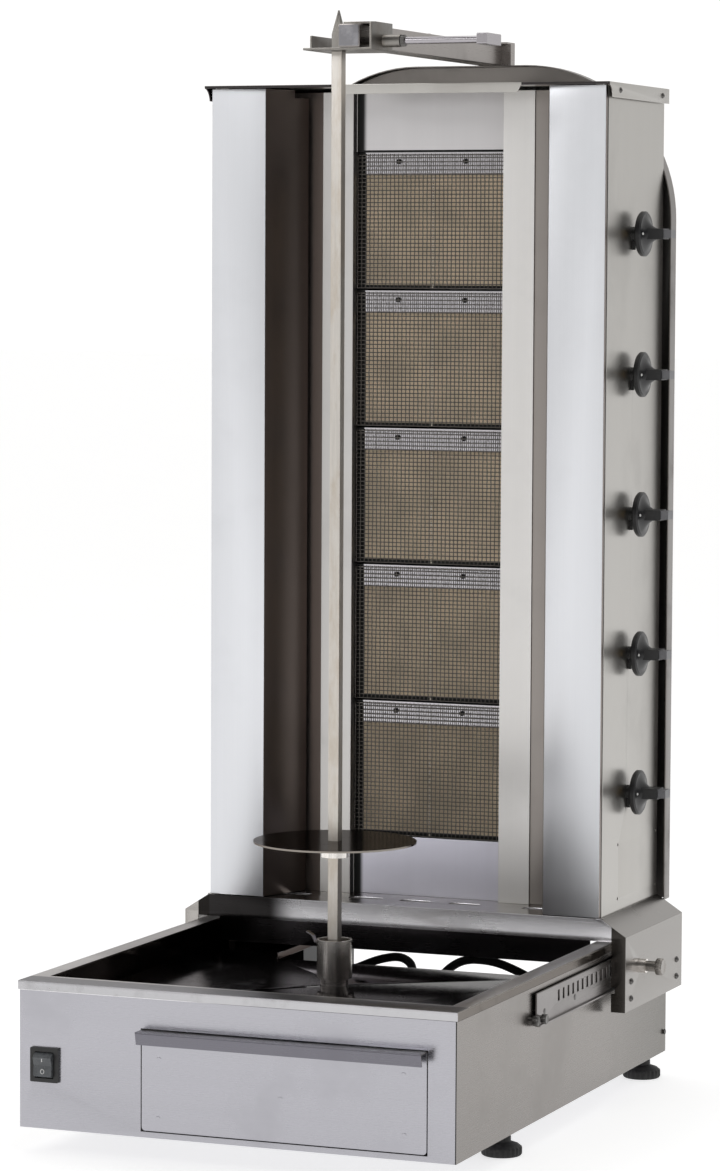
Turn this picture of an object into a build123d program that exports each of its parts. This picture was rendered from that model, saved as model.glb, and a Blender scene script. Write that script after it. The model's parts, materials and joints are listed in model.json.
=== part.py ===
"""Gas vertical rotisserie broiler: a grease-tray base with a motor-driven spit, and a burner tower
on a sliding carriage with hinged side wings, a top arm and a spit holder.

Frame: millimetres, X to the right, Y towards the back, Z up.
Origin: where the spit's axis meets the plane of the base's underside.
"""
import os
from math import radians, tan

from build123d import *

os.makedirs("parts", exist_ok=True)

# ---------------------------------------------------------------- driving dimensions
sheet = 1.5                     # stainless sheet of the panels
plate = 2.0                     # heavier sheet of the carriage
face_gap = 0.3                  # gap between pieces that only lie close
running_fit = 0.06              # radial clearance of a turning or sliding shaft

base_width = 500.0
base_depth = 700.0
base_height = 158.0             # underside to the rim's top
spit_setback = 277.0            # base's front to the spit's axis
rim_skirt = 10.0                # height of the rim's turned-down edge
rim_side = 20.0                 # width of the rim at the sides
rim_front = 36.0                # width of the rim at the front
tray_depth = 31.0               # rim's top to the tray floor
floor_back = 140.0              # rear edge of the tray floor at the hose notch
corner_back = 235.0             # rear wall of the tray's left corner
notch_left = -127.0             # left edge of the hose notch
drain_radius = 14.0

foot_height = 28.0
foot_pad_radius = 22.0
foot_stud_radius = 5.0
foot_inset_x = 22.0
foot_front_inset = 193.0
foot_back_inset = 28.0

drawer_left = -105.7
drawer_right = 216.0
drawer_bottom = 7.4
drawer_top = 113.5
drawer_length = 200.0
drawer_gap = 1.0                # gap around the drawer front
lip_reach = 18.0
lip_drop = 14.0
lip_lean = 3.0                  # how far the lip's lower edge leans back
lip_corner = 0.5

switch_x = -218.4
switch_z = 69.0
switch_width = 33.0
switch_height = 37.0
rocker_radius = 13.7
rocker_width = 21.0

spit_size = 12.0
spit_top = 1194.0
spit_taper = 26.0
cup_wall = 2.5
cup_top = 177.4
cup_socket_depth = 40.0
cup_neck_radius = 15.5
cup_neck_top = 135.0
cup_hollow_floor = 155.0
square_slack = 0.3              # clearance of a square hole round the spit
shaft_bottom = 104.0
shaft_radius = 6.0
disc_radius = 90.0
disc_height = 286.0
collar_height = 16.0

tower_front = 201.0
tower_back = 410.0
tower_bottom = 186.4            # top of the carriage deck
tower_top = 1123.0              # top of the lid
strip_face = 272.0              # front of the strips beside the burners
opening_half = 92.0             # half of the burner opening
strip_width = 38.0
wing_inner_x = 172.0            # fold between the wing's front and its slanted cheek
wing_end_x = 147.0
wing_end_y = 269.5
wing_pin_radius = 2.0
lid_edge = 3.0                  # turned-down front edge of the lid
lid_flange = 17.0
brow_left = -80.0               # ends of the lid's brow over the burners
brow_right = 137.0
brow_drop = 11.0

burner_count = 5
burner_pitch = 159.0
burner_top = 1049.0             # top edge of the highest burner's bracket
bracket_height = 26.0
clamp_screw_spread = 82.0
tile_width = 92.0
tile_thickness = 13.0
mesh_face = 283.0
tile_face = 290.5

knob_y = 299.5
knob_top_z = 955.5
knob_disc_radius = 25.5
knob_push = 4.0
spindle_radius = 4.0

manifold_x = 205.0
inlet_height = 270.0            # gas inlet spigot at the back
inlet_radius = 9.0
inlet_reach = 16.0
inlet_collar = 3.0              # collar that seats on the rear cover
feed_radius = 8.0               # pipe from the manifold to the inlet

saddle_bottom = 81.4
saddle_shoulder = 167.0         # height where the side plate turns inwards
saddle_flange = 17.0
skirt_bottom = 161.0
deflector_bottom = 133.0

cover_back = 429.0              # arched rear cover
cover_top = 1153.0
cover_radius = 180.0

travel = 160.0                  # the carriage's forward travel
lock_y = 250.0
lock_z = 128.5
lock_pin_radius = 2.6
lock_shaft_radius = 6.0
lock_head_radius = 9.5
slot_pitch = 16.0
slot_count = 15
slot_width = 6.0
slot_height = 12.0
rail_front = -45.0
rail_back = 400.0
rail_top = 141.0
rail_bottom = 107.0
rail_flange = 6.0
rail_stop_radius = 5.5
rail_screw_head = 0.7

arm_size = 25.0
arm_wall = 2.0
arm_front = -24.0
arm_back = 438.0
head_left = -33.0
head_right = 47.0
head_front = -22.0
head_back = 40.0
clamp_y = 15.0
clamp_rod_radius = 4.0
clamp_end = 174.0

# ---------------------------------------------------------------- sizes that follow
base_front = -spit_setback
base_back = base_front + base_depth
base_half = base_width / 2
body_half = base_half - sheet
tray_half = base_half - rim_side
tray_front = base_front + rim_front
tray_floor = base_height - tray_depth
carriage_span = tower_back - tower_front
cup_radius = spit_size / 2 + 13.5
collar_radius = spit_size / 2 + 9
tower_half = base_half - 11
wing_pivot_x = tower_half - 4
wing_pivot_y = tower_front + 3.8
lid_half = tower_half + 6
lid_front = tower_front - 8
cover_half = tower_half + 10
knob_start = tower_half + 9.5
knob_end = tower_half + 48
tile_height = burner_pitch - bracket_height - 1
rail_web = base_half + 1        # inner face of the rail's web
saddle_half = base_half + 21
saddle_deck_half = tower_half + 2
deflector_half = tray_half - 2
lock_tip = saddle_half + 29
arm_left = spit_size * 0.75     # clears the turning spit's corners
arm_bottom = cover_top
arm_right = arm_left + arm_size
clamp_z = arm_bottom + 8.0


def slab(x, y, z, mode=Mode.ADD):
    """A rectangular block between the low and high values of each axis."""
    with Locations(((x[0] + x[1]) / 2, (y[0] + y[1]) / 2, (z[0] + z[1]) / 2)):
        Box(x[1] - x[0], y[1] - y[0], z[1] - z[0], mode=mode)


def rod(start, radius, length, direction="Z", mode=Mode.ADD):
    """A round bar from start along one axis."""
    step = {"X": (1, 0, 0), "Y": (0, 1, 0), "Z": (0, 0, 1)}[direction]
    middle = Vector(start) + Vector(step) * (length / 2)
    turn = {"X": (0, 90, 0), "Y": (90, 0, 0), "Z": (0, 0, 0)}[direction]
    with Locations(Location(middle, turn)):
        Cylinder(radius, length, mode=mode)


def save(builder, name):
    """Label a finished piece and write it as its own node."""
    builder.part.label = name
    export_step(builder.part, f"parts/{name}.step")


def both(value):
    """The span from minus a value to plus that value."""
    return (-value, value)


# ================================================================ base
foot_spots = [
    (side * (base_half - foot_inset_x), y)
    for side in (-1, 1)
    for y in (base_front + foot_front_inset, base_back - foot_back_inset)
]

with BuildPart() as base_housing:
    slab(both(body_half), (base_front, base_back - sheet), (0, base_height - sheet))
    slab(
        both(body_half - sheet),
        (base_front + sheet, base_back - 2 * sheet),
        (sheet, base_height),
        mode=Mode.SUBTRACT,
    )
    # drawer mouth in the front wall
    slab(
        (drawer_left - drawer_gap, drawer_right + drawer_gap),
        (base_front - 1, base_front + 3 * sheet),
        (drawer_bottom - drawer_gap, drawer_top + sheet + drawer_gap),
        mode=Mode.SUBTRACT,
    )
    # switch cut-out
    slab(
        (switch_x - 12.5, switch_x + 12.5),
        (base_front, base_front + 3 * sheet),
        (switch_z - 16, switch_z + 16),
        mode=Mode.SUBTRACT,
    )
    # open back above a low rear wall
    slab(
        both(body_half - 30),
        (base_back - 3 * sheet, base_back),
        (55, base_height - 18),
        mode=Mode.SUBTRACT,
    )
    for spot in foot_spots:
        with Locations((spot[0], spot[1], sheet / 2)):
            Cylinder(foot_stud_radius + running_fit, 2 * sheet, mode=Mode.SUBTRACT)
save(base_housing, "base_housing")

with BuildPart() as drip_tray:
    # wide flat rim with a turned-down edge
    slab(both(base_half), (base_front - sheet, base_back), (base_height - rim_skirt, base_height))
    slab(
        both(body_half),
        (base_front, base_back - sheet),
        (base_height - rim_skirt - 1, base_height - sheet),
        mode=Mode.SUBTRACT,
    )
    # well: walls and floor
    slab(
        both(tray_half + sheet),
        (tray_front - sheet, base_back - rim_side + sheet),
        (tray_floor - sheet, base_height - sheet),
    )
    slab(
        both(tray_half),
        (tray_front, base_back - rim_side),
        (tray_floor, base_height + 1),
        mode=Mode.SUBTRACT,
    )
    # notch at the back for the hoses, open to the rear
    slab(
        (notch_left, tray_half),
        (floor_back, base_back - rim_side),
        (tray_floor - 2 * sheet, tray_floor + 1),
        mode=Mode.SUBTRACT,
    )
    slab(
        both(tray_half),
        (corner_back + sheet, base_back - rim_side),
        (tray_floor - 2 * sheet, tray_floor + 1),
        mode=Mode.SUBTRACT,
    )
    slab(
        both(tray_half),
        (base_back - rim_side - 1, base_back - rim_side + 2 * sheet),
        (tray_floor - 2 * sheet, base_height - sheet - 10),
        mode=Mode.SUBTRACT,
    )
    # rear wall of the left corner and the notch's upstands
    slab(
        (-tray_half, notch_left),
        (corner_back, corner_back + sheet),
        (tray_floor - sheet, base_height - 4),
    )
    slab(
        (notch_left - sheet, notch_left),
        (floor_back, corner_back),
        (tray_floor - sheet, tray_floor + 6),
    )
    # hole for the drive and the fat drain over the drawer
    with Locations((0, 0, tray_floor)):
        Cylinder(12, 10, mode=Mode.SUBTRACT)
    with Locations((60, tray_front + 70, tray_floor)):
        Cylinder(drain_radius, 10, mode=Mode.SUBTRACT)
save(drip_tray, "drip_tray")

with BuildPart() as foot_pads:
    for spot in foot_spots:
        with BuildSketch(Plane.XZ.offset(-spot[1])) as pad_profile:
            with BuildLine():
                Polyline(
                    (spot[0], -foot_height),
                    (spot[0] + foot_pad_radius - 2, -foot_height),
                    (spot[0] + foot_pad_radius, -foot_height + 2),
                    (spot[0] + foot_pad_radius, -foot_height + 9),
                    (spot[0] + foot_pad_radius - 3, -foot_height + 12),
                    (spot[0] + 10, -foot_height + 15),
                    (spot[0] + 10, -foot_height + 21),
                    (spot[0], -foot_height + 21),
                    close=True,
                )
            make_face()
        revolve(axis=Axis((spot[0], spot[1], 0), (0, 0, 1)))
save(foot_pads, "foot_pads")

with BuildPart() as foot_studs:
    for spot in foot_spots:
        with Locations((spot[0], spot[1], (-foot_height + 21 + sheet) / 2)):
            Cylinder(foot_stud_radius, foot_height - 21 + sheet)
        with Locations((spot[0], spot[1], -2.5)):
            Cylinder(8.5, 5)
save(foot_studs, "foot_studs")

gearbox_half = 35.0
gearbox_bottom = 65.0
bracket_top = 121.0
gearbox_back = 50.0
motor_radius = 26.0
motor_height = 92.0
motor_back = 132.0
with BuildPart() as drive_motor:
    slab(both(gearbox_half), (-40, gearbox_back), (gearbox_bottom, bracket_top - plate))
    rod((0, gearbox_back, motor_height), motor_radius, motor_back - gearbox_back, "Y")
    with Locations((0, 0, bracket_top - plate - 15)):
        Cylinder(shaft_radius + running_fit, 32, mode=Mode.SUBTRACT)
save(drive_motor, "drive_motor")

with BuildPart() as motor_bracket:
    slab(both(80), (-50, 80), (bracket_top - plate, bracket_top))
    for side in (-1, 1):
        slab(sorted((side * 78, side * 80)), (-50, 80), (sheet, bracket_top))
        slab(sorted((side * 78, side * 98)), (-50, 80), (sheet, sheet + plate))
    # tab that holds the second lead's end
    slab((28, 80), (78, 80), (50, 70))
    with Locations((0, 0, bracket_top)):
        Cylinder(14, 10, mode=Mode.SUBTRACT)
save(motor_bracket, "motor_bracket")

bush_top = tray_floor + 3.0
with BuildPart() as shaft_bush:
    with Locations((0, 0, tray_floor + 1.5)):
        Cylinder(15.5, 3)
    with Locations((0, 0, (bracket_top + tray_floor) / 2)):
        Cylinder(11.8, tray_floor - bracket_top)
    with Locations((0, 0, tray_floor)):
        Cylinder(shaft_radius + running_fit, 30, mode=Mode.SUBTRACT)
save(shaft_bush, "shaft_bush")

switch_proud = 3.0
with BuildPart() as switch_bezel:
    slab(
        (switch_x - switch_width / 2, switch_x + switch_width / 2),
        (base_front - switch_proud, base_front),
        (switch_z - switch_height / 2, switch_z + switch_height / 2),
    )
    fillet(switch_bezel.edges().filter_by(Axis.Y), 1.5)
    slab(
        (switch_x - 12.4, switch_x + 12.4),
        (base_front, base_front + 22),
        (switch_z - 15.9, switch_z + 15.9),
    )
    slab(
        (switch_x - rocker_width / 2 - 0.5, switch_x + rocker_width / 2 + 0.5),
        (base_front - 5, base_front + 16),
        (switch_z - rocker_radius - 0.5, switch_z + rocker_radius + 0.5),
        mode=Mode.SUBTRACT,
    )
save(switch_bezel, "switch_bezel")

rocker_y = base_front + 1.0
with BuildPart() as switch_rocker:
    with BuildSketch(Plane.YZ.offset(switch_x - rocker_width / 2)):
        with Locations((rocker_y, switch_z)):
            Circle(rocker_radius)
        with BuildLine():
            Polyline(
                (rocker_y - 13, switch_z - rocker_radius - 1),
                (rocker_y - 9.5, switch_z - rocker_radius - 1),
                (rocker_y - 7.5, switch_z),
                (rocker_y - 12.5, switch_z + rocker_radius + 1),
                (rocker_y - 13, switch_z + rocker_radius + 1),
                (rocker_y - 16, switch_z + rocker_radius + 1),
                (rocker_y - 16, switch_z - rocker_radius - 1),
                close=True,
            )
        make_face(mode=Mode.SUBTRACT)
    extrude(amount=rocker_width)
save(switch_rocker, "switch_rocker")

# junction box in the rear left corner, with the mains inlet on its back
box_right = -146.0
box_front = 262.0
box_back = base_back - 2 * sheet
box_top = 118.0
with BuildPart() as junction_box:
    slab((-body_half + sheet, box_right), (box_front, box_back), (sheet, box_top))
    slab(
        (-body_half + 2 * sheet, box_right - sheet),
        (box_front + sheet, box_back - sheet),
        (2 * sheet, box_top - sheet),
        mode=Mode.SUBTRACT,
    )
save(junction_box, "junction_box")

inlet_x = -195.0
inlet_z = 30.0
with BuildPart() as mains_inlet:
    slab((inlet_x - 16, inlet_x + 16), (base_back - sheet, base_back + 3), (inlet_z - 15, inlet_z + 15))
    fillet(mains_inlet.edges().filter_by(Axis.Y), 3)
    slab(
        (inlet_x - 12.5, inlet_x + 12.5),
        (base_back - sheet + 0.6, base_back + 4),
        (inlet_z - 8.5, inlet_z + 8.5),
        mode=Mode.SUBTRACT,
    )
    for pin_x in (-7, 0, 7):
        slab(
            (inlet_x + pin_x - 1, inlet_x + pin_x + 1),
            (base_back - sheet, base_back + 2),
            (inlet_z - 3, inlet_z + 3),
        )
save(mains_inlet, "mains_inlet")

# leads held inside the base: the motor's lead, and the rocker switch's lead to its gland
lead_radius = 5.0
motor_lead_points = [
    (12, motor_back, motor_height),
    (12, 172, motor_height),
    (8, 215, 96),
    (-4, 250, 112),
    (-30, 275, 116),
    (-62, 290, 108),
    (-94, 304, 94),
    (-118, 308, 84),
    (box_right, 308, 84),
]
gland_lead_points = [
    (40, 80, 60),
    (40, 120, 60),
    (41, 165, 66),
    (37, 205, 82),
    (36, 245, 106),
    (50, 275, 118),
    (82, 290, 115),
    (112, 305, 100),
    (140, 330, 76),
    (158, 360, 50),
    (158, base_back - 2 * sheet, 50),
]


def turn_radii(points):
    """The largest tangent arc for each corner of a route."""
    radii = []
    for before, corner, after in zip(points, points[1:], points[2:]):
        arriving = Vector(corner) - Vector(before)
        leaving = Vector(after) - Vector(corner)
        half_turn = arriving.get_angle(leaving) / 2
        run = min(arriving.length, leaving.length)
        radii.append(0.45 * run / tan(radians(half_turn)))
    return radii


with BuildPart() as base_leads:
    for points in (motor_lead_points, gland_lead_points):
        with BuildLine() as route:
            FilletPolyline(*points, radius=turn_radii(points))
        with BuildSketch(Plane(route.wires()[0] @ 0, z_dir=route.wires()[0] % 0)):
            Circle(lead_radius)
        sweep(path=route.wires()[0])
save(base_leads, "base_leads")

# ================================================================ drawer
with BuildPart() as drawer_front:
    slab((drawer_left, drawer_right), (base_front, base_front + sheet), (drawer_bottom, drawer_top))
    lower_corners = drawer_front.edges().filter_by(Axis.Y).group_by(Axis.Z)[0]
    fillet(lower_corners, 4)
save(drawer_front, "drawer_front")

with BuildPart() as drawer_lip:
    lip_edge = base_front - lip_reach
    slab((drawer_left, drawer_right), (lip_edge, base_front), (drawer_top, drawer_top + sheet))
    lip_foot = drawer_top + sheet - lip_drop
    with BuildSketch(Plane.YZ.offset(drawer_left)):
        with BuildLine():
            Polyline(
                (lip_edge, drawer_top + sheet),
                (lip_edge + lip_lean, lip_foot),
                (lip_edge + lip_lean + sheet, lip_foot),
                (lip_edge + sheet, drawer_top),
                close=True,
            )
        make_face()
    extrude(amount=drawer_right - drawer_left)
    tips = drawer_lip.edges().group_by(Axis.Z)[0].sort_by(Axis.X)
    fillet([tips[0], tips[-1]], lip_corner)
    slab(
        (drawer_left + 4, drawer_right - 4),
        (base_front, base_front + sheet),
        (drawer_top, drawer_top + sheet),
    )
save(drawer_lip, "drawer_lip")

box_wall = 1.2
drawer_box_top = 96.0
with BuildPart() as drawer_box:
    slab(
        (drawer_left + 8, drawer_right - 8),
        (base_front + sheet, base_front + sheet + drawer_length),
        (drawer_bottom + 3, drawer_box_top),
    )
    slab(
        (drawer_left + 8 + box_wall, drawer_right - 8 - box_wall),
        (base_front + sheet + box_wall, base_front + sheet + drawer_length - box_wall),
        (drawer_bottom + 3 + box_wall, drawer_box_top + 1),
        mode=Mode.SUBTRACT,
    )
save(drawer_box, "drawer_box")

with BuildPart() as drawer_runners:
    for wall_x, foot_x in ((drawer_left + 5.5, drawer_left - 4), (drawer_right - 5.5, drawer_right + 4)):
        slab(
            sorted((wall_x, wall_x + (2 if foot_x > wall_x else -2))),
            (base_front + 2 * sheet, base_front + drawer_length + 10),
            (sheet, 30),
        )
        slab(
            sorted((wall_x, foot_x)),
            (base_front + 2 * sheet, base_front + drawer_length + 10),
            (sheet, sheet + 2),
        )
    # ledge under the drawer's floor
    slab(
        (drawer_left + 5.5, drawer_right - 5.5),
        (base_front + 40, base_front + 60),
        (drawer_bottom + 3 - face_gap - 3, drawer_bottom + 3 - face_gap),
    )
save(drawer_runners, "drawer_runners")

# ================================================================ drive, spit and disc
neck_bottom = bush_top + 0.4
with BuildPart() as drive_shaft:
    rod((0, 0, shaft_bottom), shaft_radius, neck_bottom - shaft_bottom)
save(drive_shaft, "drive_shaft")

socket_floor = cup_top - cup_socket_depth
hole_half = spit_size / 2 + square_slack
cup_rib_height = 17.0
with BuildPart() as drive_cup:
    rod((0, 0, neck_bottom), cup_neck_radius, cup_neck_top - neck_bottom)
    rod((0, 0, cup_neck_top), cup_radius, cup_top - cup_neck_top)
    rod((0, 0, cup_hollow_floor), cup_radius - cup_wall, cup_top + 1 - cup_hollow_floor, mode=Mode.SUBTRACT)
    # square socket for the spit, with four folded guide ribs above it
    slab(both(hole_half), both(hole_half), (socket_floor, cup_top + 1), mode=Mode.SUBTRACT)
    with Locations((0, 0, cup_hollow_floor)):
        with PolarLocations(cup_radius - cup_wall - 3, 4, start_angle=45):
            Box(8, 2, cup_rib_height, align=(Align.CENTER, Align.CENTER, Align.MIN))
save(drive_cup, "drive_cup")

with BuildPart() as cup_grip:
    with BuildLine() as grip_path:
        FilletPolyline(
            (-cup_radius, 0, cup_top - 4),
            (-cup_radius - 3, 0, cup_top - 4),
            (-cup_radius - 6, 0, cup_top + 3),
            (-cup_radius - 13, 0, cup_top + 7),
            radius=2,
        )
    with BuildSketch(Plane(grip_path.wires()[0] @ 0, z_dir=grip_path.wires()[0] % 0)):
        Rectangle(1.4, 6)
    sweep(path=grip_path.wires()[0])
save(cup_grip, "cup_grip")

with BuildPart() as spit_bar:
    slab(both(spit_size / 2), both(spit_size / 2), (socket_floor + 0.3, spit_top - spit_taper))
    with BuildSketch(Plane.XY.offset(spit_top - spit_taper)):
        Rectangle(spit_size, spit_size)
    with BuildSketch(Plane.XY.offset(spit_top)):
        Rectangle(1.5, 1.5)
    loft()
save(spit_bar, "spit_bar")

with BuildPart() as meat_disc:
    with Locations((0, 0, disc_height)):
        Cylinder(disc_radius, 2)
    slab(both(hole_half), both(hole_half), (disc_height - 5, disc_height + 5), mode=Mode.SUBTRACT)
save(meat_disc, "meat_disc")

collar_top = disc_height - 1
with BuildPart() as disc_collar:
    with Locations((0, 0, collar_top - collar_height / 2)):
        Cylinder(collar_radius, collar_height)
    slab(
        both(hole_half),
        both(hole_half),
        (collar_top - collar_height - 1, collar_top + 1),
        mode=Mode.SUBTRACT,
    )
    rod((-collar_radius - 1, 0, collar_top - collar_height / 2), 2.55, 12, "X", mode=Mode.SUBTRACT)
save(disc_collar, "disc_collar")

with BuildPart() as collar_screw:
    rod((-collar_radius - 8, 0, collar_top - collar_height / 2), 2.5, 16, "X")
    rod((-collar_radius - 12, 0, collar_top - collar_height / 2), 6, 5, "X")
save(collar_screw, "collar_screw")

# ================================================================ rails on the base's sides
lock_slots = [lock_y - slot_pitch * index for index in range(slot_count)]
standoff_spots = (rail_front + 25, 80, 210, 330, rail_back - 15)
stop_height = rail_bottom + rail_stop_radius + face_gap


def rail(side, name):
    """One slotted side rail, stood off the base's side, with its lower flange turned outwards."""
    with BuildPart() as rail_piece:
        web = sorted((side * rail_web, side * (rail_web + plate)))
        slab(web, (rail_front, rail_back), (rail_bottom, rail_top))
        slab(
            sorted((side * rail_web, side * (rail_web + rail_flange))),
            (rail_front, rail_back),
            (rail_bottom - plate, rail_bottom),
        )
        for slot_y in lock_slots:
            slab(
                sorted((side * (rail_web - 1), side * (rail_web + plate + 1))),
                (slot_y - slot_width / 2, slot_y + slot_width / 2),
                (lock_z - slot_height / 2, lock_z + slot_height / 2),
                mode=Mode.SUBTRACT,
            )
        # standoffs to the base's side
        for spacer_y in standoff_spots:
            slab(
                sorted((side * body_half, side * rail_web)),
                (spacer_y - 8, spacer_y + 8),
                (rail_bottom, rail_bottom + 14),
            )
    save(rail_piece, name)


rail(-1, "rail_left")
rail(1, "rail_right")

with BuildPart() as rail_screws:
    # knurled end stops before and on the rails' front ends, and the rails' fixing screws
    for side in (-1, 1):
        for stop_y, inner, outer in (
            (rail_front - 8, body_half, rail_web + 7),
            (rail_front + 8, rail_web + plate, rail_web + plate + 9),
        ):
            stop_x = min(side * inner, side * outer)
            rod((stop_x, stop_y, stop_height), rail_stop_radius, outer - inner, "X")
        for screw_y in standoff_spots:
            head_x = min(side * (rail_web + plate), side * (rail_web + plate + rail_screw_head))
            rod((head_x, screw_y, rail_bottom + 11), 3.5, rail_screw_head, "X")
    # screw low at the base's right rear corner
    rod((body_half, base_back - 10, 24), 3.2, 2.4, "X")
save(rail_screws, "rail_screws")

# ================================================================ carriage: saddle, covers and frame
side_outline = [
    (saddle_half, saddle_bottom),
    (saddle_half, saddle_shoulder),
    (saddle_deck_half, tower_bottom),
    (-saddle_deck_half, tower_bottom),
    (-saddle_half, saddle_shoulder),
    (-saddle_half, saddle_bottom),
    (-saddle_half + plate, saddle_bottom),
    (-saddle_half + plate, saddle_shoulder - 1.2),
    (-saddle_deck_half + 0.6, tower_bottom - plate),
    (saddle_deck_half - 0.6, tower_bottom - plate),
    (saddle_half - plate, saddle_shoulder - 1.2),
    (saddle_half - plate, saddle_bottom),
]
with BuildPart() as saddle:
    with BuildSketch(Plane.XZ.offset(-tower_front)):
        with BuildLine():
            Polyline(*side_outline, close=True)
        make_face()
    extrude(amount=-carriage_span)
    for side in (-1, 1):
        # front flange down the side plate and the shoulder
        with BuildSketch(Plane.XZ.offset(-tower_front)):
            with BuildLine():
                Polyline(
                    (side * saddle_half, saddle_bottom),
                    (side * saddle_half, saddle_shoulder),
                    (side * saddle_deck_half, tower_bottom),
                    (side * (saddle_deck_half - 4), tower_bottom),
                    (side * (saddle_deck_half - 4), skirt_bottom),
                    (side * (saddle_half - saddle_flange), skirt_bottom),
                    (side * (saddle_half - saddle_flange), saddle_bottom),
                    close=True,
                )
            make_face()
        extrude(amount=-plate)
    # skirt under the deck's front edge, and the deflector that hangs into the tray
    slab(both(saddle_deck_half - 2), (tower_front, tower_front + plate), (skirt_bottom, tower_bottom))
    slab(
        both(deflector_half),
        (tower_front + plate, tower_front + 2 * plate),
        (deflector_bottom, skirt_bottom + 8),
    )
    # washers under the wings' hinge corners
    for side in (-1, 1):
        with Locations((side * wing_pivot_x, wing_pivot_y, tower_bottom + 0.25)):
            Cylinder(8, 0.5)
        with Locations((side * wing_pivot_x, wing_pivot_y, tower_bottom)):
            Cylinder(wing_pin_radius + running_fit, 8, mode=Mode.SUBTRACT)
        # notch that lets the rail's flange through
        slab(
            sorted((side * rail_web, side * (rail_web + rail_flange + 1.5))),
            (tower_front - 1, tower_front + plate + 1),
            (rail_bottom - plate - 2.5, rail_bottom + 2.5),
            mode=Mode.SUBTRACT,
        )
        # clearance for the side panel's front edge
        slab(
            sorted((side * (tower_half - 6), side * (tower_half + 6))),
            (wing_pivot_y + 4.4, wing_pivot_y + 12),
            (tower_bottom, tower_bottom + 1),
            mode=Mode.SUBTRACT,
        )
    # hole for the lock's barrel in the right side plate
    rod((saddle_half - 10, lock_y, lock_z), 8, 20, "X", mode=Mode.SUBTRACT)
    # slots in the deck under the burners
    for slot_x in (-150, -60, 0, 60, 150):
        slab(
            (slot_x - 18, slot_x + 18),
            (240, 252),
            (tower_bottom - 4, tower_bottom + 1),
            mode=Mode.SUBTRACT,
        )
save(saddle, "saddle")

panel_front = wing_pivot_y + 4.7
for side, name in ((-1, "side_panel_left"), (1, "side_panel_right")):
    with BuildPart() as side_panel:
        slab(
            sorted((side * (tower_half - sheet), side * tower_half)),
            (panel_front, tower_back),
            (tower_bottom, tower_top - sheet),
        )
        # front return behind the wing
        slab(
            sorted((side * (tower_half - 16), side * (tower_half - sheet))),
            (panel_front + 2, panel_front + 2 + sheet),
            (tower_bottom, tower_top - sheet),
        )
        slab(
            sorted((side * (tower_half - 2 * sheet), side * (tower_half - sheet))),
            (panel_front, panel_front + 2 + sheet),
            (tower_bottom, tower_top - sheet),
        )
        if side > 0:
            for index in range(burner_count):
                valve_height = knob_top_z - burner_pitch * index
                rod((tower_half - 5, knob_y, valve_height), 5.5, 10, "X", mode=Mode.SUBTRACT)
            for hole_y in (knob_y - 33, tower_back - 7):
                for hole_z in (tower_bottom + 14, tower_bottom + 76):
                    rod((tower_half - 5, hole_y, hole_z), 1.8, 10, "X", mode=Mode.SUBTRACT)
    save(side_panel, name)

with BuildPart() as back_panel:
    slab(both(tower_half - sheet), (tower_back - sheet, tower_back), (tower_bottom, tower_top - sheet))
    for row in range(9):
        for column in (-140, 0, 140):
            slab(
                (column - 45, column + 45),
                (tower_back - 5, tower_back + 5),
                (tower_bottom + 80 + row * 90, tower_bottom + 88 + row * 90),
                mode=Mode.SUBTRACT,
            )
    rod((manifold_x, tower_back - 5, inlet_height), feed_radius + face_gap, 10, "Y", mode=Mode.SUBTRACT)
save(back_panel, "back_panel")

with BuildPart() as top_lid:
    slab(both(lid_half), (lid_front, tower_back), (tower_top - sheet, tower_top))
    slab(both(lid_half), (lid_front, lid_front + sheet), (tower_top - lid_edge, tower_top))
    with BuildSketch(Plane.XZ.offset(-lid_front)):
        with BuildLine():
            Polyline(
                (brow_left - 4, tower_top - lid_edge),
                (brow_left, tower_top - brow_drop),
                (brow_right, tower_top - brow_drop),
                (brow_right + 4, tower_top - lid_edge),
                close=True,
            )
        make_face()
    extrude(amount=-sheet)
    for side in (-1, 1):
        with BuildSketch(Plane.YZ.offset(min(side * lid_half, side * (lid_half - sheet)))):
            with BuildLine():
                Polyline(
                    (tower_back, tower_top),
                    (lid_front, tower_top),
                    (lid_front, tower_top - lid_edge),
                )
                RadiusArc((lid_front, tower_top - lid_edge), (lid_front + 14, tower_top - lid_flange), 16)
                Polyline(
                    (lid_front + 14, tower_top - lid_flange),
                    (tower_back, tower_top - lid_flange),
                    (tower_back, tower_top),
                )
            make_face()
        extrude(amount=sheet)
        with Locations((side * wing_pivot_x, wing_pivot_y, tower_top)):
            Cylinder(wing_pin_radius + running_fit, 8, mode=Mode.SUBTRACT)
save(top_lid, "top_lid")

with BuildPart() as rear_cover:
    # tray-shaped cover with a round-shouldered top, open towards the tower
    for inset, front, mode in ((0, tower_back, Mode.ADD), (sheet, tower_back - 1, Mode.SUBTRACT)):
        with BuildSketch(Plane.XZ.offset(-front)):
            with BuildLine():
                half = cover_half - inset
                top = cover_top - inset
                bend = cover_radius - inset
                Line((-half, tower_bottom - 6), (half, tower_bottom - 6))
                Line((half, tower_bottom - 6), (half, top - bend))
                RadiusArc((half, top - bend), (half - bend, top), -bend)
                Line((half - bend, top), (-half + bend, top))
                RadiusArc((-half + bend, top), (-half, top - bend), -bend)
                Line((-half, top - bend), (-half, tower_bottom - 6))
            make_face()
        extrude(amount=-(cover_back - inset - front), mode=mode)
    rod((manifold_x, cover_back - 5, inlet_height), feed_radius + face_gap, 10, "Y", mode=Mode.SUBTRACT)
save(rear_cover, "rear_cover")

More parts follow.
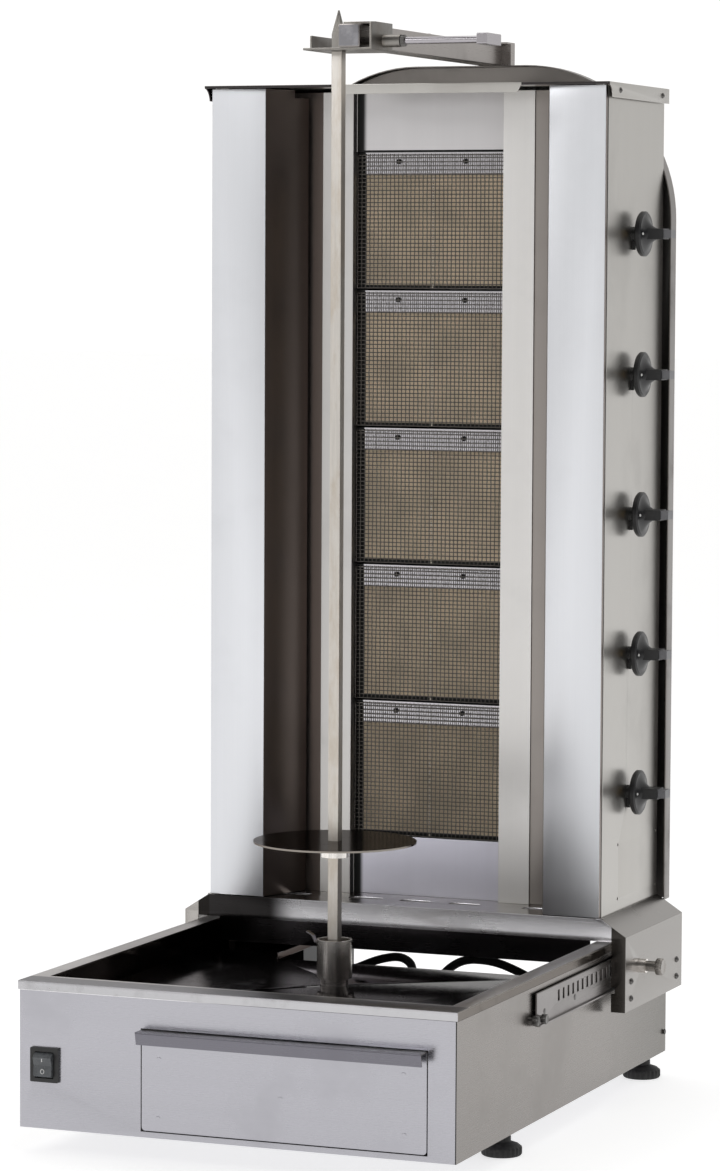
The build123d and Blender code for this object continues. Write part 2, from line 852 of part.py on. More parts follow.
bracket_tops = [burner_top - burner_pitch * index for index in range(burner_count)]
fascia_bottom = bracket_tops[-1] - bracket_height - tile_height
with BuildPart() as front_frame:
    for side in (-1, 1):
        strip = sorted((side * opening_half, side * (opening_half + strip_width)))
        outer = sorted((side * (opening_half + strip_width), side * (opening_half + strip_width + 50)))
        height = (tower_bottom, tower_top - sheet - 4)
        slab(strip, (strip_face, strip_face + sheet), height)
        slab(
            sorted((side * (opening_half + strip_width - sheet), side * (opening_half + strip_width))),
            (strip_face, strip_face + 4.5),
            height,
        )
        slab(outer, (strip_face + 3, strip_face + 4.5), height)
        # return along the burner opening
        slab(
            sorted((side * opening_half, side * (opening_half + sheet))),
            (strip_face, 330),
            height,
        )
    slab(both(opening_half), (mesh_face, mesh_face + sheet), (burner_top, tower_top - sheet - 4))
    slab(both(opening_half), (mesh_face, mesh_face + sheet), (tower_bottom, fascia_bottom))
save(front_frame, "front_frame")

# ================================================================ burners
with BuildPart() as burner_bodies:
    for top in bracket_tops:
        body_z = (top - bracket_height - tile_height + 1, top - 1)
        slab(both(opening_half - 1), (tile_face + tile_thickness, 352), body_z)
        slab(
            both(opening_half - 1 - sheet),
            (tile_face + tile_thickness - 1, 352 - sheet),
            (body_z[0] + sheet, body_z[1] - sheet),
            mode=Mode.SUBTRACT,
        )
        slab(
            both(opening_half - 1),
            (tile_face + tile_thickness, tile_face + tile_thickness + 2),
            (top - bracket_height, top - 1),
        )
save(burner_bodies, "burner_bodies")

with BuildPart() as burner_tiles:
    for top in bracket_tops:
        for side in (-1, 1):
            slab(
                sorted((side * 0.6, side * (tile_width - 0.8))),
                (tile_face, tile_face + tile_thickness),
                (top - bracket_height - tile_height + 1, top - bracket_height - 0.5),
            )
save(burner_tiles, "burner_tiles")

with BuildPart() as burner_clamps:
    for top in bracket_tops:
        slab(both(opening_half - 1), (tile_face - 3.5, tile_face - 2), (top - bracket_height, top - 0.5))
        slab(both(opening_half - 1), (tile_face - 2, tile_face + tile_thickness), (top - 2, top - 0.5))
        # lower edge bent back against the tiles
        slab(
            both(opening_half - 1),
            (tile_face - 2, tile_face - face_gap),
            (top - bracket_height, top - bracket_height + sheet),
        )
        for screw_x in (-clamp_screw_spread / 2, clamp_screw_spread / 2):
            rod((screw_x, tile_face - 5.5, top - 11), 3, 2, "Y")
save(burner_clamps, "burner_clamps")

with BuildPart() as mesh_guards:
    for top in bracket_tops:
        slab(
            both(opening_half - 0.5),
            (mesh_face, mesh_face + 1.2),
            (top - burner_pitch + 1, top - 0.5),
        )
save(mesh_guards, "mesh_guards")

# ================================================================ gas train on the carriage
knob_heights = [knob_top_z - burner_pitch * index for index in range(burner_count)]
valve_size = 26.0
valve_right = tower_half - 13
manifold_radius = 11.0
manifold_y = knob_y + valve_size / 2 + manifold_radius
manifold_bottom = 250.0
manifold_top = 1010.0
with BuildPart() as gas_manifold:
    rod((manifold_x, manifold_y, manifold_bottom), manifold_radius, manifold_top - manifold_bottom)
    rod((manifold_x, manifold_y, inlet_height), feed_radius, cover_back - manifold_y, "Y")
    rod((manifold_x, cover_back, inlet_height), inlet_radius + 5, inlet_collar, "Y")
    rod((manifold_x, cover_back + inlet_collar, inlet_height), inlet_radius, inlet_reach, "Y")
save(gas_manifold, "gas_manifold")

with BuildPart() as gas_valves:
    for height in knob_heights:
        slab(
            (valve_right - 40, valve_right),
            (knob_y - valve_size / 2, knob_y + valve_size / 2),
            (height - valve_size / 2, height + valve_size / 2),
        )
        rod((valve_right - 20, knob_y, height), spindle_radius + running_fit, 30, "X", mode=Mode.SUBTRACT)
save(gas_valves, "gas_valves")

with BuildPart() as gas_pipes:
    for height in knob_heights:
        rod((opening_half + sheet, knob_y, height), 4, valve_right - 40 - opening_half - sheet, "X")
save(gas_pipes, "gas_pipes")

with BuildPart() as valve_bushings:
    for height in knob_heights:
        rod((tower_half, knob_y, height), 8, 4.5, "X")
        slab((tower_half, tower_half + 3), (knob_y - 1.2, knob_y + 1.2), (height - 18, height))
        rod((tower_half - 2, knob_y, height), spindle_radius + 0.4, 10, "X", mode=Mode.SUBTRACT)
save(valve_bushings, "valve_bushings")

# ================================================================ gas taps: spindle and knob
spindle_end = tower_half + 29
for index, height in enumerate(knob_heights, start=1):
    with BuildPart() as spindle:
        rod((valve_right - 18, knob_y, height), spindle_radius, spindle_end - valve_right + 18, "X")
    save(spindle, f"tap_spindle_{index}")

    with BuildPart() as knob:
        with BuildSketch(Plane.XZ.offset(-knob_y)):
            with BuildLine():
                Polyline(
                    (knob_start, height),
                    (knob_start, height + knob_disc_radius - 1.5),
                    (knob_start + 1.5, height + knob_disc_radius),
                    (knob_start + 5.5, height + knob_disc_radius),
                    (knob_start + 7, height + knob_disc_radius - 2),
                )
                RadiusArc(
                    (knob_start + 7, height + knob_disc_radius - 2),
                    (knob_start + 19, height + 6.2),
                    -19,
                )
                Polyline(
                    (knob_start + 19, height + 6.2),
                    (knob_start + 29, height + 6),
                    (knob_start + 29, height),
                    (knob_start, height),
                )
            make_face()
        revolve(axis=Axis((0, knob_y, height), (1, 0, 0)))
        slab((knob_start + 5, knob_end - 9), (knob_y - 11, knob_y + 11), (height - 6, height + 6))
        slab((knob_end - 9, knob_end), (knob_y - 9, knob_y + 9), (height - 4.7, height + 4.7))
        rod(
            (knob_start - 1, knob_y, height),
            spindle_radius + running_fit,
            spindle_end + knob_push + 2 - knob_start,
            "X",
            mode=Mode.SUBTRACT,
        )
    save(knob, f"knob_{index}")

# ================================================================ wings
wing_bottom = tower_bottom + 0.9
wing_top = tower_top - 3.6
for side, name in ((-1, "wing_left"), (1, "wing_right")):
    with BuildPart() as wing:
        with BuildSketch(Plane.XY.offset(wing_bottom)):
            with BuildLine():
                Polyline(
                    (side * (tower_half - 0.2), tower_front + 6),
                    (side * (tower_half - 0.2), tower_front),
                    (side * wing_inner_x, tower_front),
                    (side * wing_end_x, wing_end_y),
                    (side * (wing_end_x + 1.5), wing_end_y + 0.5),
                    (side * (wing_inner_x + 1.1), tower_front + sheet),
                    (side * (tower_half - 0.2 - sheet), tower_front + sheet),
                    (side * (tower_half - 0.2 - sheet), tower_front + 6),
                    close=True,
                )
            make_face()
        extrude(amount=wing_top - wing_bottom)
        # notch that passes the lid's brow
        slab(
            sorted((side * 100, side * (wing_inner_x - 5))),
            (wing_end_y - 22, wing_end_y + 2),
            (tower_top - brow_drop - 1.5, tower_top),
            mode=Mode.SUBTRACT,
        )
        # hinge pins at the outer corner, held in two small gussets
        for low, high in ((tower_bottom - 1.8, wing_bottom + 10), (wing_top - 10, tower_top - 0.2)):
            with Locations((side * wing_pivot_x, wing_pivot_y, (low + high) / 2)):
                Cylinder(wing_pin_radius, high - low)
        for low in (wing_bottom + 2, wing_top - 6):
            slab(
                sorted((side * (wing_pivot_x - 4), side * (tower_half - 0.5))),
                (tower_front + 0.5, wing_pivot_y + 1),
                (low, low + 4),
            )
    save(wing, name)

# ================================================================ arm, holder and clamp
with BuildPart() as arm:
    slab((arm_left, arm_right), (arm_front, arm_back), (arm_bottom, arm_bottom + arm_size))
    slab(
        (arm_left + arm_wall, arm_right - arm_wall),
        (arm_front + 3, arm_back + 1),
        (arm_bottom + arm_wall, arm_bottom + arm_size - arm_wall),
        mode=Mode.SUBTRACT,
    )
save(arm, "arm")

with BuildPart() as arm_bracket:
    slab(
        (arm_left - 2, arm_right + 11),
        (tower_back + 2, arm_back),
        (arm_bottom + arm_size, arm_bottom + arm_size + plate),
    )
    slab(
        (arm_right, arm_right + 11),
        (tower_back + 14, arm_back),
        (arm_bottom, arm_bottom + arm_size),
    )
    slab((arm_left - 2, arm_right + 11), (cover_back, arm_back), (arm_bottom - 30, arm_bottom))
save(arm_bracket, "arm_bracket")

head_plate_top = arm_bottom - face_gap
head_plate = 2.5
head_plate_bottom = head_plate_top - head_plate
with BuildPart() as holder_head:
    slab((head_left, head_right), (head_front, head_back), (head_plate_bottom, head_plate_top))
    # right wall with the clamp's boss, left upturn, and a top strap over the arm
    slab(
        (head_right - head_plate, head_right),
        (head_front, head_back),
        (head_plate_bottom, arm_bottom + arm_size + 2),
    )
    slab(
        (head_left, head_left + head_plate),
        (head_front + 20, head_back + 18),
        (head_plate_bottom, arm_bottom + 14),
    )
    slab((head_left, head_right), (head_back - 4, head_back + 18), (head_plate_bottom, head_plate_top))
    strap = (arm_bottom + arm_size + face_gap, arm_bottom + arm_size + face_gap + head_plate)
    slab((arm_left + 1, head_right), (head_front + 10, head_back), strap)
    # left leg of the strap, behind the spit
    slab((arm_left - 4, arm_left + 1), (clamp_y + 10, head_back), strap)
    slab((arm_left - 4, arm_left - 2), (clamp_y + 10, head_back), (head_plate_bottom, strap[1]))
    rod((head_right, clamp_y, clamp_z), 7, 20, "X")
    rod((arm_right, clamp_y, clamp_z), clamp_rod_radius + running_fit, 60, "X", mode=Mode.SUBTRACT)
    with Locations((0, 0, head_plate_bottom)):
        Cylinder(spit_size / 2 * 1.4142 + 0.8, 12, mode=Mode.SUBTRACT)
save(holder_head, "holder_head")

with BuildPart() as clamp_screw:
    rod((arm_right + 0.4, clamp_y, clamp_z), clamp_rod_radius, clamp_end - 6 - arm_right, "X")
    slab((clamp_end - 12, clamp_end), (clamp_y - 22, clamp_y + 22), (clamp_z - 6, clamp_z + 6))
    fillet(clamp_screw.edges().filter_by(Axis.X).group_by(Axis.X)[-1], 1.5)
save(clamp_screw, "clamp_screw")

# ================================================================ carriage lock
with BuildPart() as lock_barrel:
    rod((saddle_half - plate - 3, lock_y, lock_z), 9.5, 3, "X")
    rod((saddle_half - plate, lock_y, lock_z), 7.9, plate + 9, "X")
    rod((saddle_half - 20, lock_y, lock_z), lock_shaft_radius + running_fit, 60, "X", mode=Mode.SUBTRACT)
save(lock_barrel, "lock_barrel")

pin_rest = rail_web + plate + 1.5
with BuildPart() as lock_plunger:
    rod((pin_rest, lock_y, lock_z), lock_pin_radius, 8, "X")
    rod((pin_rest + 7, lock_y, lock_z), lock_shaft_radius, lock_tip - 8 - pin_rest - 7, "X")
    rod((lock_tip - 8, lock_y, lock_z), lock_head_radius, 8, "X")
    fillet(lock_plunger.edges().filter_by(GeomType.CIRCLE).sort_by(Axis.X)[-1], 1)
save(lock_plunger, "lock_plunger")

with BuildPart() as panel_screws:
    # domed screws of the saddle's side plates and of the lid's side flanges
    for side in (-1, 1):
        for screw_y in (222.0, 390.0):
            for screw_z in (95.0, 114.5):
                rod((min(side * saddle_half, side * (saddle_half + 2.2)), screw_y, screw_z), 3.6, 2.2, "X")
        for screw_y in (232.0, 385.0):
            rod((min(side * lid_half, side * (lid_half + 1.8)), screw_y, tower_top - 8.5), 3.2, 1.8, "X")
save(panel_screws, "panel_screws")
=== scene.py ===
"""Looks of the vertical rotisserie broiler: its steels, burner mesh and tiles, knobs, screws and feet.

Metres, X to the right, Y towards the back, Z up, as in the frame.
"""
import json
import math

import bmesh
import bpy
from mathutils import Matrix, Vector


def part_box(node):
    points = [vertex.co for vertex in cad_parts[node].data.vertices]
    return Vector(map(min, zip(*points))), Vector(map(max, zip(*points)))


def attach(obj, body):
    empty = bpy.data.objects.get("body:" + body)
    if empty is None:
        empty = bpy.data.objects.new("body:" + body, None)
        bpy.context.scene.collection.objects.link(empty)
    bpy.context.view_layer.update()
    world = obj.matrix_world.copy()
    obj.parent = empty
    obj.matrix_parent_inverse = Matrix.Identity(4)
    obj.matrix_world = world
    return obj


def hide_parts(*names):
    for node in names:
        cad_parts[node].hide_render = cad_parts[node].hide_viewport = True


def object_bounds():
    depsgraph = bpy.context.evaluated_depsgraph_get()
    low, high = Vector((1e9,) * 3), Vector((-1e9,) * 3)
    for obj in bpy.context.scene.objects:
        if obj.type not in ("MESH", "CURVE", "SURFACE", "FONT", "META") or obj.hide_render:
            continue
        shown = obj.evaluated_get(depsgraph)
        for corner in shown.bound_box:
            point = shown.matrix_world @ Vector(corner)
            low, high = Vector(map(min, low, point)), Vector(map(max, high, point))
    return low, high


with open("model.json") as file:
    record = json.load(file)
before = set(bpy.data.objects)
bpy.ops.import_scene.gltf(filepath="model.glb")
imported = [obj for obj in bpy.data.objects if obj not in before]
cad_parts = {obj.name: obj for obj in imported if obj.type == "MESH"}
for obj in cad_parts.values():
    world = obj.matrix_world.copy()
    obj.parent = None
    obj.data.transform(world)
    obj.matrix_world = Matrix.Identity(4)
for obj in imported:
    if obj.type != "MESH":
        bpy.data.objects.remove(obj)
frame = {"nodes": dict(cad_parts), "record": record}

cad_low, cad_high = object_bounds()
MM = 0.001


# ---------------------------------------------------------------- node building
class Wire:
    """One socket of a node tree. Arithmetic on it adds Math nodes."""

    def __init__(self, maker, socket):
        self.maker = maker
        self.socket = socket

    def maths(self, operation, first, second):
        return self.maker.add("ShaderNodeMath", {"operation": operation}, {0: first, 1: second})

    def __add__(self, other):
        return self.maths("ADD", self, other)

    __radd__ = __add__

    def __sub__(self, other):
        return self.maths("SUBTRACT", self, other)

    def __rsub__(self, other):
        return self.maths("SUBTRACT", other, self)

    def __mul__(self, other):
        return self.maths("MULTIPLY", self, other)

    __rmul__ = __mul__

    def __truediv__(self, other):
        return self.maths("DIVIDE", self, other)

    def __gt__(self, other):
        return self.maths("GREATER_THAN", self, other)

    def __lt__(self, other):
        return self.maths("LESS_THAN", self, other)

    def __abs__(self):
        return self.maths("ABSOLUTE", self, 0.0)


class Finish:
    """The nodes of one material or of the world, with the few helpers that the finishes share."""

    def __init__(self, owner):
        owner.use_nodes = True
        self.owner = owner
        self.tree = owner.node_tree

    def add(self, kind, settings=None, sockets=None, output=0):
        """A node of one type: its settings first, then its sockets' values or links."""
        made = self.tree.nodes.new(kind)
        for name, value in (settings or {}).items():
            if name == "stops":
                ramp = made.color_ramp
                while len(ramp.elements) < len(value):
                    ramp.elements.new(0.5)
                for element, (place, colour) in zip(ramp.elements, value):
                    element.position = place
                    element.color = (*colour, 1.0)
            else:
                setattr(made, name, value)
        for key, value in (sockets or {}).items():
            self.feed(made.inputs[key], value)
        return Wire(self, made.outputs[output])

    def feed(self, socket, value):
        if isinstance(value, Wire):
            self.tree.links.new(value.socket, socket)
        elif socket.type == "RGBA" and len(value) == 3:
            socket.default_value = (*value, 1.0)
        else:
            socket.default_value = value

    def place(self):
        """Where the point is on the object, in metres."""
        return self.add("ShaderNodeTexCoord", output="Object")

    def facing(self):
        return self.add("ShaderNodeTexCoord", output="Normal")

    def axis(self, vector, letter):
        return self.add("ShaderNodeSeparateXYZ", sockets={0: vector}, output=letter)

    def stretched(self, vector, scales):
        return self.add("ShaderNodeVectorMath", {"operation": "MULTIPLY"}, {0: vector, 1: scales})

    def noise(self, vector, scale, detail=3.0, rough=0.6):
        return self.add(
            "ShaderNodeTexNoise",
            sockets={"Vector": vector, "Scale": scale, "Detail": detail, "Roughness": rough},
        )

    def ease(self, value, low, high, start=0.0, end=1.0):
        """A value moved smoothly from one range to another."""
        return self.add(
            "ShaderNodeMapRange",
            {"interpolation_type": "SMOOTHSTEP"},
            {0: value, 1: low, 2: high, 3: start, 4: end},
        )

    def mixed(self, amount, first, second):
        """Two colours mixed."""
        return self.add(
            "ShaderNodeMix", {"data_type": "RGBA"}, {0: amount, 6: first, 7: second}, output=2
        )

    def scaled(self, colour, amount):
        """A colour made lighter or darker."""
        return self.add("ShaderNodeVectorMath", {"operation": "SCALE"}, {0: colour, "Scale": amount})

    def either(self, amount, first, second):
        """Two vectors mixed."""
        return self.add(
            "ShaderNodeMix", {"data_type": "VECTOR"}, {0: amount, 4: first, 5: second}, output=1
        )

    def bump(self, height, strength, distance):
        return self.add(
            "ShaderNodeBump", sockets={"Height": height, "Strength": strength, "Distance": distance}
        )

    def wave(self, value):
        """The sine of a value in turns."""
        return self.add("ShaderNodeMath", {"operation": "SINE"}, {0: value * math.tau})

    def surface(self, **sockets):
        """Set or link the shader's own sockets, named with underscores for spaces."""
        shader = self.tree.nodes["Principled BSDF"]
        for name, value in sockets.items():
            self.feed(shader.inputs[name.replace("_", " ")], value)


def new_finish(name):
    return Finish(bpy.data.materials.new(name))


def toned(colour, amount):
    return tuple(min(1.0, part * amount) for part in colour)


# ---------------------------------------------------------------- finishes
along_grain = 6.0
over_grain = 700.0
GRAINS = {
    # scale along each axis on upright faces, and on level ones
    "level": ((along_grain, along_grain, over_grain), (along_grain, over_grain, along_grain)),
    "upright": ((over_grain, over_grain, along_grain), (over_grain, along_grain, along_grain)),
    "depth": ((over_grain, along_grain, over_grain), (over_grain, along_grain, along_grain)),
    "across": ((along_grain, over_grain, over_grain), (along_grain, over_grain, along_grain)),
}


def brushed_steel(name, tone, rough, grain, smear=0.35, smear_tone=0.72, depth=0.10, regions=None):
    """Stainless sheet brushed one way, with fine scratches, faint bands and wiped smears.

    regions gives pairs of a mask and the tone that the steel takes there; many of these tones are painted
    light and shade.
    """
    steel = new_finish(name)
    spot = steel.place()
    normal = steel.facing()
    flat = abs(steel.axis(normal, "Z")) > 0.7
    walls, tops = GRAINS[grain]
    lay = steel.either(flat, steel.stretched(spot, walls), steel.stretched(spot, tops))
    scratch = steel.noise(lay, 1.0, 6.0, 0.72)
    band = steel.noise(lay, 0.06, 2.0, 0.5)
    cloud = steel.noise(spot, 7.0, 4.0, 0.65)
    wiped = steel.ease(cloud, 0.5, 0.72) * smear
    ground = tone
    if regions:
        for mask, tint in regions(steel, spot, normal):
            ground = steel.mixed(mask, ground, tint)
    streak = 0.94 + (scratch * 0.5 + band * 0.5) * 0.12
    shade = streak * (1.0 - wiped * (1.0 - smear_tone))
    steel.surface(
        Base_Color=steel.scaled(ground, shade),
        Metallic=1.0,
        Roughness=rough - 0.04 + scratch * 0.08 + wiped * 0.18,
        Normal=steel.bump(scratch, depth, 0.0004),
    )
    return steel.owner


def polished_steel(name, tone, rough, stain, stain_tone, regions=None, satin=None):
    """Smooth dark steel with dried fat marks and hairline scratches, and tinted regions."""
    steel = new_finish(name)
    spot = steel.place()
    hair = steel.noise(steel.stretched(spot, (40.0, 420.0, 40.0)), 1.0, 4.0, 0.7)
    blot = steel.ease(steel.noise(spot, 11.0, 5.0, 0.7), 0.5, 0.68)
    drop = steel.add(
        "ShaderNodeTexVoronoi", {"feature": "F1"}, {"Vector": spot, "Scale": 38.0, "Randomness": 1.0}
    )
    ring = steel.ease(drop, 0.28, 0.16) * steel.ease(steel.noise(spot, 5.0, 2.0), 0.5, 0.6)
    mark = (blot * 0.6 + ring * 0.4) * stain
    ground = tone
    if regions:
        for mask, tint in regions(steel, spot, steel.facing()):
            ground = steel.mixed(mask, ground, tint)
    scuffed = satin(steel, spot) * 0.2 if satin else 0.0
    steel.surface(
        Base_Color=steel.mixed(mark, steel.scaled(ground, 0.93 + hair * 0.14), stain_tone),
        Metallic=1.0,
        Roughness=rough + scuffed + hair * 0.05 + mark * 0.35,
        Specular_Tint=(0.35, 0.34, 0.34),
        Normal=steel.bump(hair + mark * 0.6, 0.12, 0.0003),
    )
    return steel.owner


def turned_steel(name, tone, rough, streak):
    """Lathe-turned steel with fine rings and upright wipe streaks."""
    steel = new_finish(name)
    spot = steel.place()
    rings = steel.noise(steel.stretched(spot, (60.0, 60.0, 900.0)), 1.0, 3.0, 0.6)
    runs = steel.noise(steel.stretched(spot, (240.0, 240.0, 9.0)), 1.0, 4.0, 0.7)
    tinted = steel.mixed(steel.ease(runs, 0.42, 0.62) * streak, tone, toned(tone, 0.62))
    steel.surface(
        Base_Color=tinted,
        Metallic=1.0,
        Roughness=rough + rings * 0.08 + runs * 0.08,
        Normal=steel.bump(rings, 0.05, 0.0002),
    )
    return steel.owner


def spit_steel(name, tone):
    """Square bar steel, dulled by heat: warm patches and long fine scratches, with painted shade inside the
    holder and on the faces turned right.
    """
    steel = new_finish(name)
    spot = steel.place()
    long = steel.noise(steel.stretched(spot, (420.0, 420.0, 14.0)), 1.0, 5.0, 0.7)
    patch = steel.noise(steel.stretched(spot, (30.0, 30.0, 9.0)), 1.0, 5.0, 0.7)
    warm = steel.ease(patch, 0.42, 0.66)
    worn = steel.mixed(
        warm * 0.6,
        steel.mixed(long, toned(tone, 0.82), toned(tone, 1.18)),
        (tone[0] * 0.78, tone[1] * 0.70, tone[2] * 0.60),
    )
    # painted shade: the bar is darker where it sits inside the holder
    holder_shade = steel.ease(steel.axis(spot, "Z"), holder_low.z - 2 * MM, holder_low.z) * 0.62
    # painted shade: the faces turned right are darker
    side = steel.ease(steel.axis(steel.facing(), "X"), 0.5, 0.8) * 0.35
    steel.surface(
        Base_Color=steel.scaled(worn, (1.0 - holder_shade) * (1.0 - side)),
        Metallic=1.0,
        Roughness=0.24 + patch * 0.22,
        Normal=steel.bump(long + patch, 0.25, 0.0004),
    )
    return steel.owner


def plated(name, tone, rough):
    """Small zinc-plated hardware, slightly mottled."""
    steel = new_finish(name)
    spot = steel.place()
    mottle = steel.noise(spot, 260.0, 4.0, 0.6)
    steel.surface(
        Base_Color=steel.mixed(mottle, toned(tone, 0.75), toned(tone, 1.15)),
        Metallic=1.0,
        Roughness=rough + mottle * 0.2,
        Normal=steel.bump(mottle, 0.15, 0.0003),
    )
    return steel.owner


def moulded(name, tone, rough, texture=900.0):
    """Moulded plastic with a fine spark texture and finger marks."""
    plastic = new_finish(name)
    spot = plastic.place()
    spark = plastic.noise(spot, texture, 2.0, 0.5)
    worn = plastic.ease(plastic.noise(spot, 60.0, 4.0, 0.65), 0.45, 0.7)
    plastic.surface(
        Base_Color=plastic.mixed(worn * 0.5, tone, toned(tone, 1.9)),
        Roughness=rough + worn * 0.16 + spark * 0.06,
        Normal=plastic.bump(spark, 0.2, 0.0002),
    )
    return plastic.owner


def rubber(name, tone):
    """Black rubber or cable sheath, dusty in places."""
    sheath = new_finish(name)
    spot = sheath.place()
    dust = sheath.ease(sheath.noise(spot, 45.0, 5.0, 0.7), 0.48, 0.75)
    grit = sheath.noise(spot, 700.0, 2.0)
    sheath.surface(
        Base_Color=sheath.mixed(dust * 0.4, tone, (0.09, 0.085, 0.08)),
        Roughness=0.5 + grit * 0.2 + dust * 0.1,
        Normal=sheath.bump(grit, 0.25, 0.0003),
    )
    return sheath.owner


def painted(name, tone):
    """Powder-coated sheet with orange-peel texture."""
    coat = new_finish(name)
    spot = coat.place()
    peel = coat.noise(spot, 420.0, 2.0, 0.5)
    dust = coat.ease(coat.noise(spot, 12.0, 4.0), 0.5, 0.75)
    coat.surface(
        Base_Color=coat.mixed(dust * 0.3, tone, toned(tone, 2.0)),
        Roughness=0.42 + dust * 0.2,
        Normal=coat.bump(peel, 0.3, 0.0003),
    )
    return coat.owner


def warm_metal(name, tone):
    """Brass or copper of the gas train, tarnished in patches."""
    metal = new_finish(name)
    spot = metal.place()
    tarnish = metal.ease(metal.noise(spot, 40.0, 5.0, 0.7), 0.42, 0.7)
    rings = metal.noise(metal.stretched(spot, (600.0, 80.0, 80.0)), 1.0, 2.0)
    metal.surface(
        Base_Color=metal.mixed(tarnish * 0.7, tone, toned(tone, 0.5)),
        Metallic=1.0,
        Roughness=0.26 + tarnish * 0.2 + rings * 0.08,
        Normal=metal.bump(rings, 0.15, 0.0003),
    )
    return metal.owner


def ceramic(name, tone):
    """Perforated infrared tile: rows of fine holes, sandy body and scorched patches."""
    tile = new_finish(name)
    spot = tile.place()
    cell = tile.stretched(spot, (1 / hole_pitch, 1 / hole_pitch, 1 / hole_pitch))
    across = tile.axis(cell, "X")
    upward = tile.axis(cell, "Z")
    ripple = tile.wave(across) * tile.wave(upward)
    hole = tile.ease(ripple, 0.1, 0.75)
    scorch = tile.noise(spot, 16.0, 5.0, 0.65)
    sand = tile.noise(spot, 900.0, 3.0, 0.6)
    body = tile.mixed(tile.ease(scorch, 0.35, 0.7), toned(tone, 1.12), toned(tone, 0.78))
    above = tile.axis(spot, "Z") - tile_low.z
    level = tile.add("ShaderNodeMath", {"operation": "FLOORED_MODULO"}, {0: above, 1: burner_pitch})
    shade = tile.add(
        "ShaderNodeMath",
        {"operation": "MAXIMUM"},
        {0: tile.axis(spot, "X") < shade_edge, 1: level < tile_shade},
    )
    grained = tile.mixed(sand * 0.35, body, toned(tone, 1.35))
    holed = tile.mixed(hole * 0.55, grained, toned(tone, 0.25))
    tile.surface(
        Base_Color=tile.mixed(shade, holed, (0.008, 0.008, 0.008)),
        Roughness=0.9,
        Normal=tile.bump(1.0 - hole + sand * 0.3, 0.7, 0.0008),
    )
    return tile.owner


def knob_plastic(name, tip_from):
    """Black knob plastic whose grip ends in a grey cap from a given X."""
    plastic = new_finish(name)
    spot = plastic.place()
    cap = plastic.axis(spot, "X") > tip_from
    spark = plastic.noise(spot, 900.0, 2.0, 0.5)
    worn = plastic.ease(plastic.noise(spot, 80.0, 4.0, 0.65), 0.45, 0.7)
    black = plastic.mixed(worn * 0.5, (0.012, 0.012, 0.013), (0.035, 0.034, 0.034))
    grey = plastic.mixed(worn * 0.5, (0.15, 0.15, 0.16), (0.22, 0.22, 0.23))
    plastic.surface(
        Base_Color=plastic.mixed(cap, black, grey),
        Roughness=0.33 + worn * 0.15 + spark * 0.05,
        Normal=plastic.bump(spark, 0.15, 0.0002),
    )
    return plastic.owner


knob_low, knob_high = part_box("knob_1")
wing_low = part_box("wing_left")[0]
clamp_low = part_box("burner_clamps")[0]
guard_low, guard_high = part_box("mesh_guards")
base_low, base_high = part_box("base_housing")
lid_low, lid_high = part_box("top_lid")
holder_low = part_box("holder_head")[0]
tile_low, tile_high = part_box("burner_tiles")
burner_count = sum(1 for name in frame["nodes"] if name.startswith("knob_"))
burner_pitch = knob_low.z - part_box("knob_2")[0].z
hole_pitch = 2.6 * MM                # between the tiles' fine holes
tile_shade = 4 * MM                  # shaded foot of each tile
skirt_height = 25.8 * MM
skirt_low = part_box("saddle")[1].z - skirt_height
shade_edge = guard_low.x + 9 * MM    # the left end of each burner is in shade up to here
tip_length = 9 * MM                  # grey cap on a knob's grip
strip_edge = guard_high.x + 38.5 * MM
brow_left = -84.5 * MM               # the lid's front edge is painted in shade outside its brow
brow_right = 141.5 * MM
shoulder = 240 * MM                  # painted shade: the saddle's front is black beyond here on the left
flange_edge = 254 * MM


def wing_painted_reflections(steel, spot, normal):
    """Painted reflections: dark brown on the slanted cheeks, and a faint dark band low on the right wing."""
    # painted reflection: the slanted cheeks are dark brown
    cheek = abs(steel.axis(normal, "X")) > 0.6
    # painted reflection of the floor: a faint dark band low on the right wing
    low = steel.ease(steel.axis(spot, "Z"), wing_low.z + 42 * MM, wing_low.z + 14 * MM)
    right = steel.axis(spot, "X") > 0.0
    return ((low * right * 0.2, (0.30, 0.30, 0.31)), (cheek, (0.20, 0.168, 0.152)))


def frame_tone_and_shade(steel, spot, normal):
    """Painted shade on the frame: the left half darker, black in the gap above the top screen and at the
    burners' left ends. Within the burners' width it is darker, paler and bluer low down; the recessed outer
    strips are dark brown, with painted shade darker still on the left.
    """
    across = steel.axis(spot, "X")
    outer = abs(across) > strip_edge
    left = across < 0.0
    inner = abs(across) < guard_high.x
    upward = steel.axis(spot, "Z")
    top_gap = (upward > guard_high.z - MM) * (upward < guard_high.z + 2.6 * MM)
    return (
        # painted shade: the left half is darker than the right
        (left, (0.60, 0.585, 0.57)),
        (inner, (0.60, 0.585, 0.59)),
        (inner * steel.ease(upward, 0.5, 0.3), (0.72, 0.71, 0.80)),
        # painted shade: black in the gap above the top screen
        (inner * top_gap, (0.02, 0.02, 0.02)),
        # painted shade: black at the left end of each burner
        (inner * steel.ease(across, shade_edge + 4 * MM, shade_edge - 2 * MM), (0.02, 0.02, 0.02)),
        (outer, (0.34, 0.31, 0.29)),
        # painted shade: the left outer strips are darker still
        (outer * left, (0.26, 0.22, 0.20)),
    )


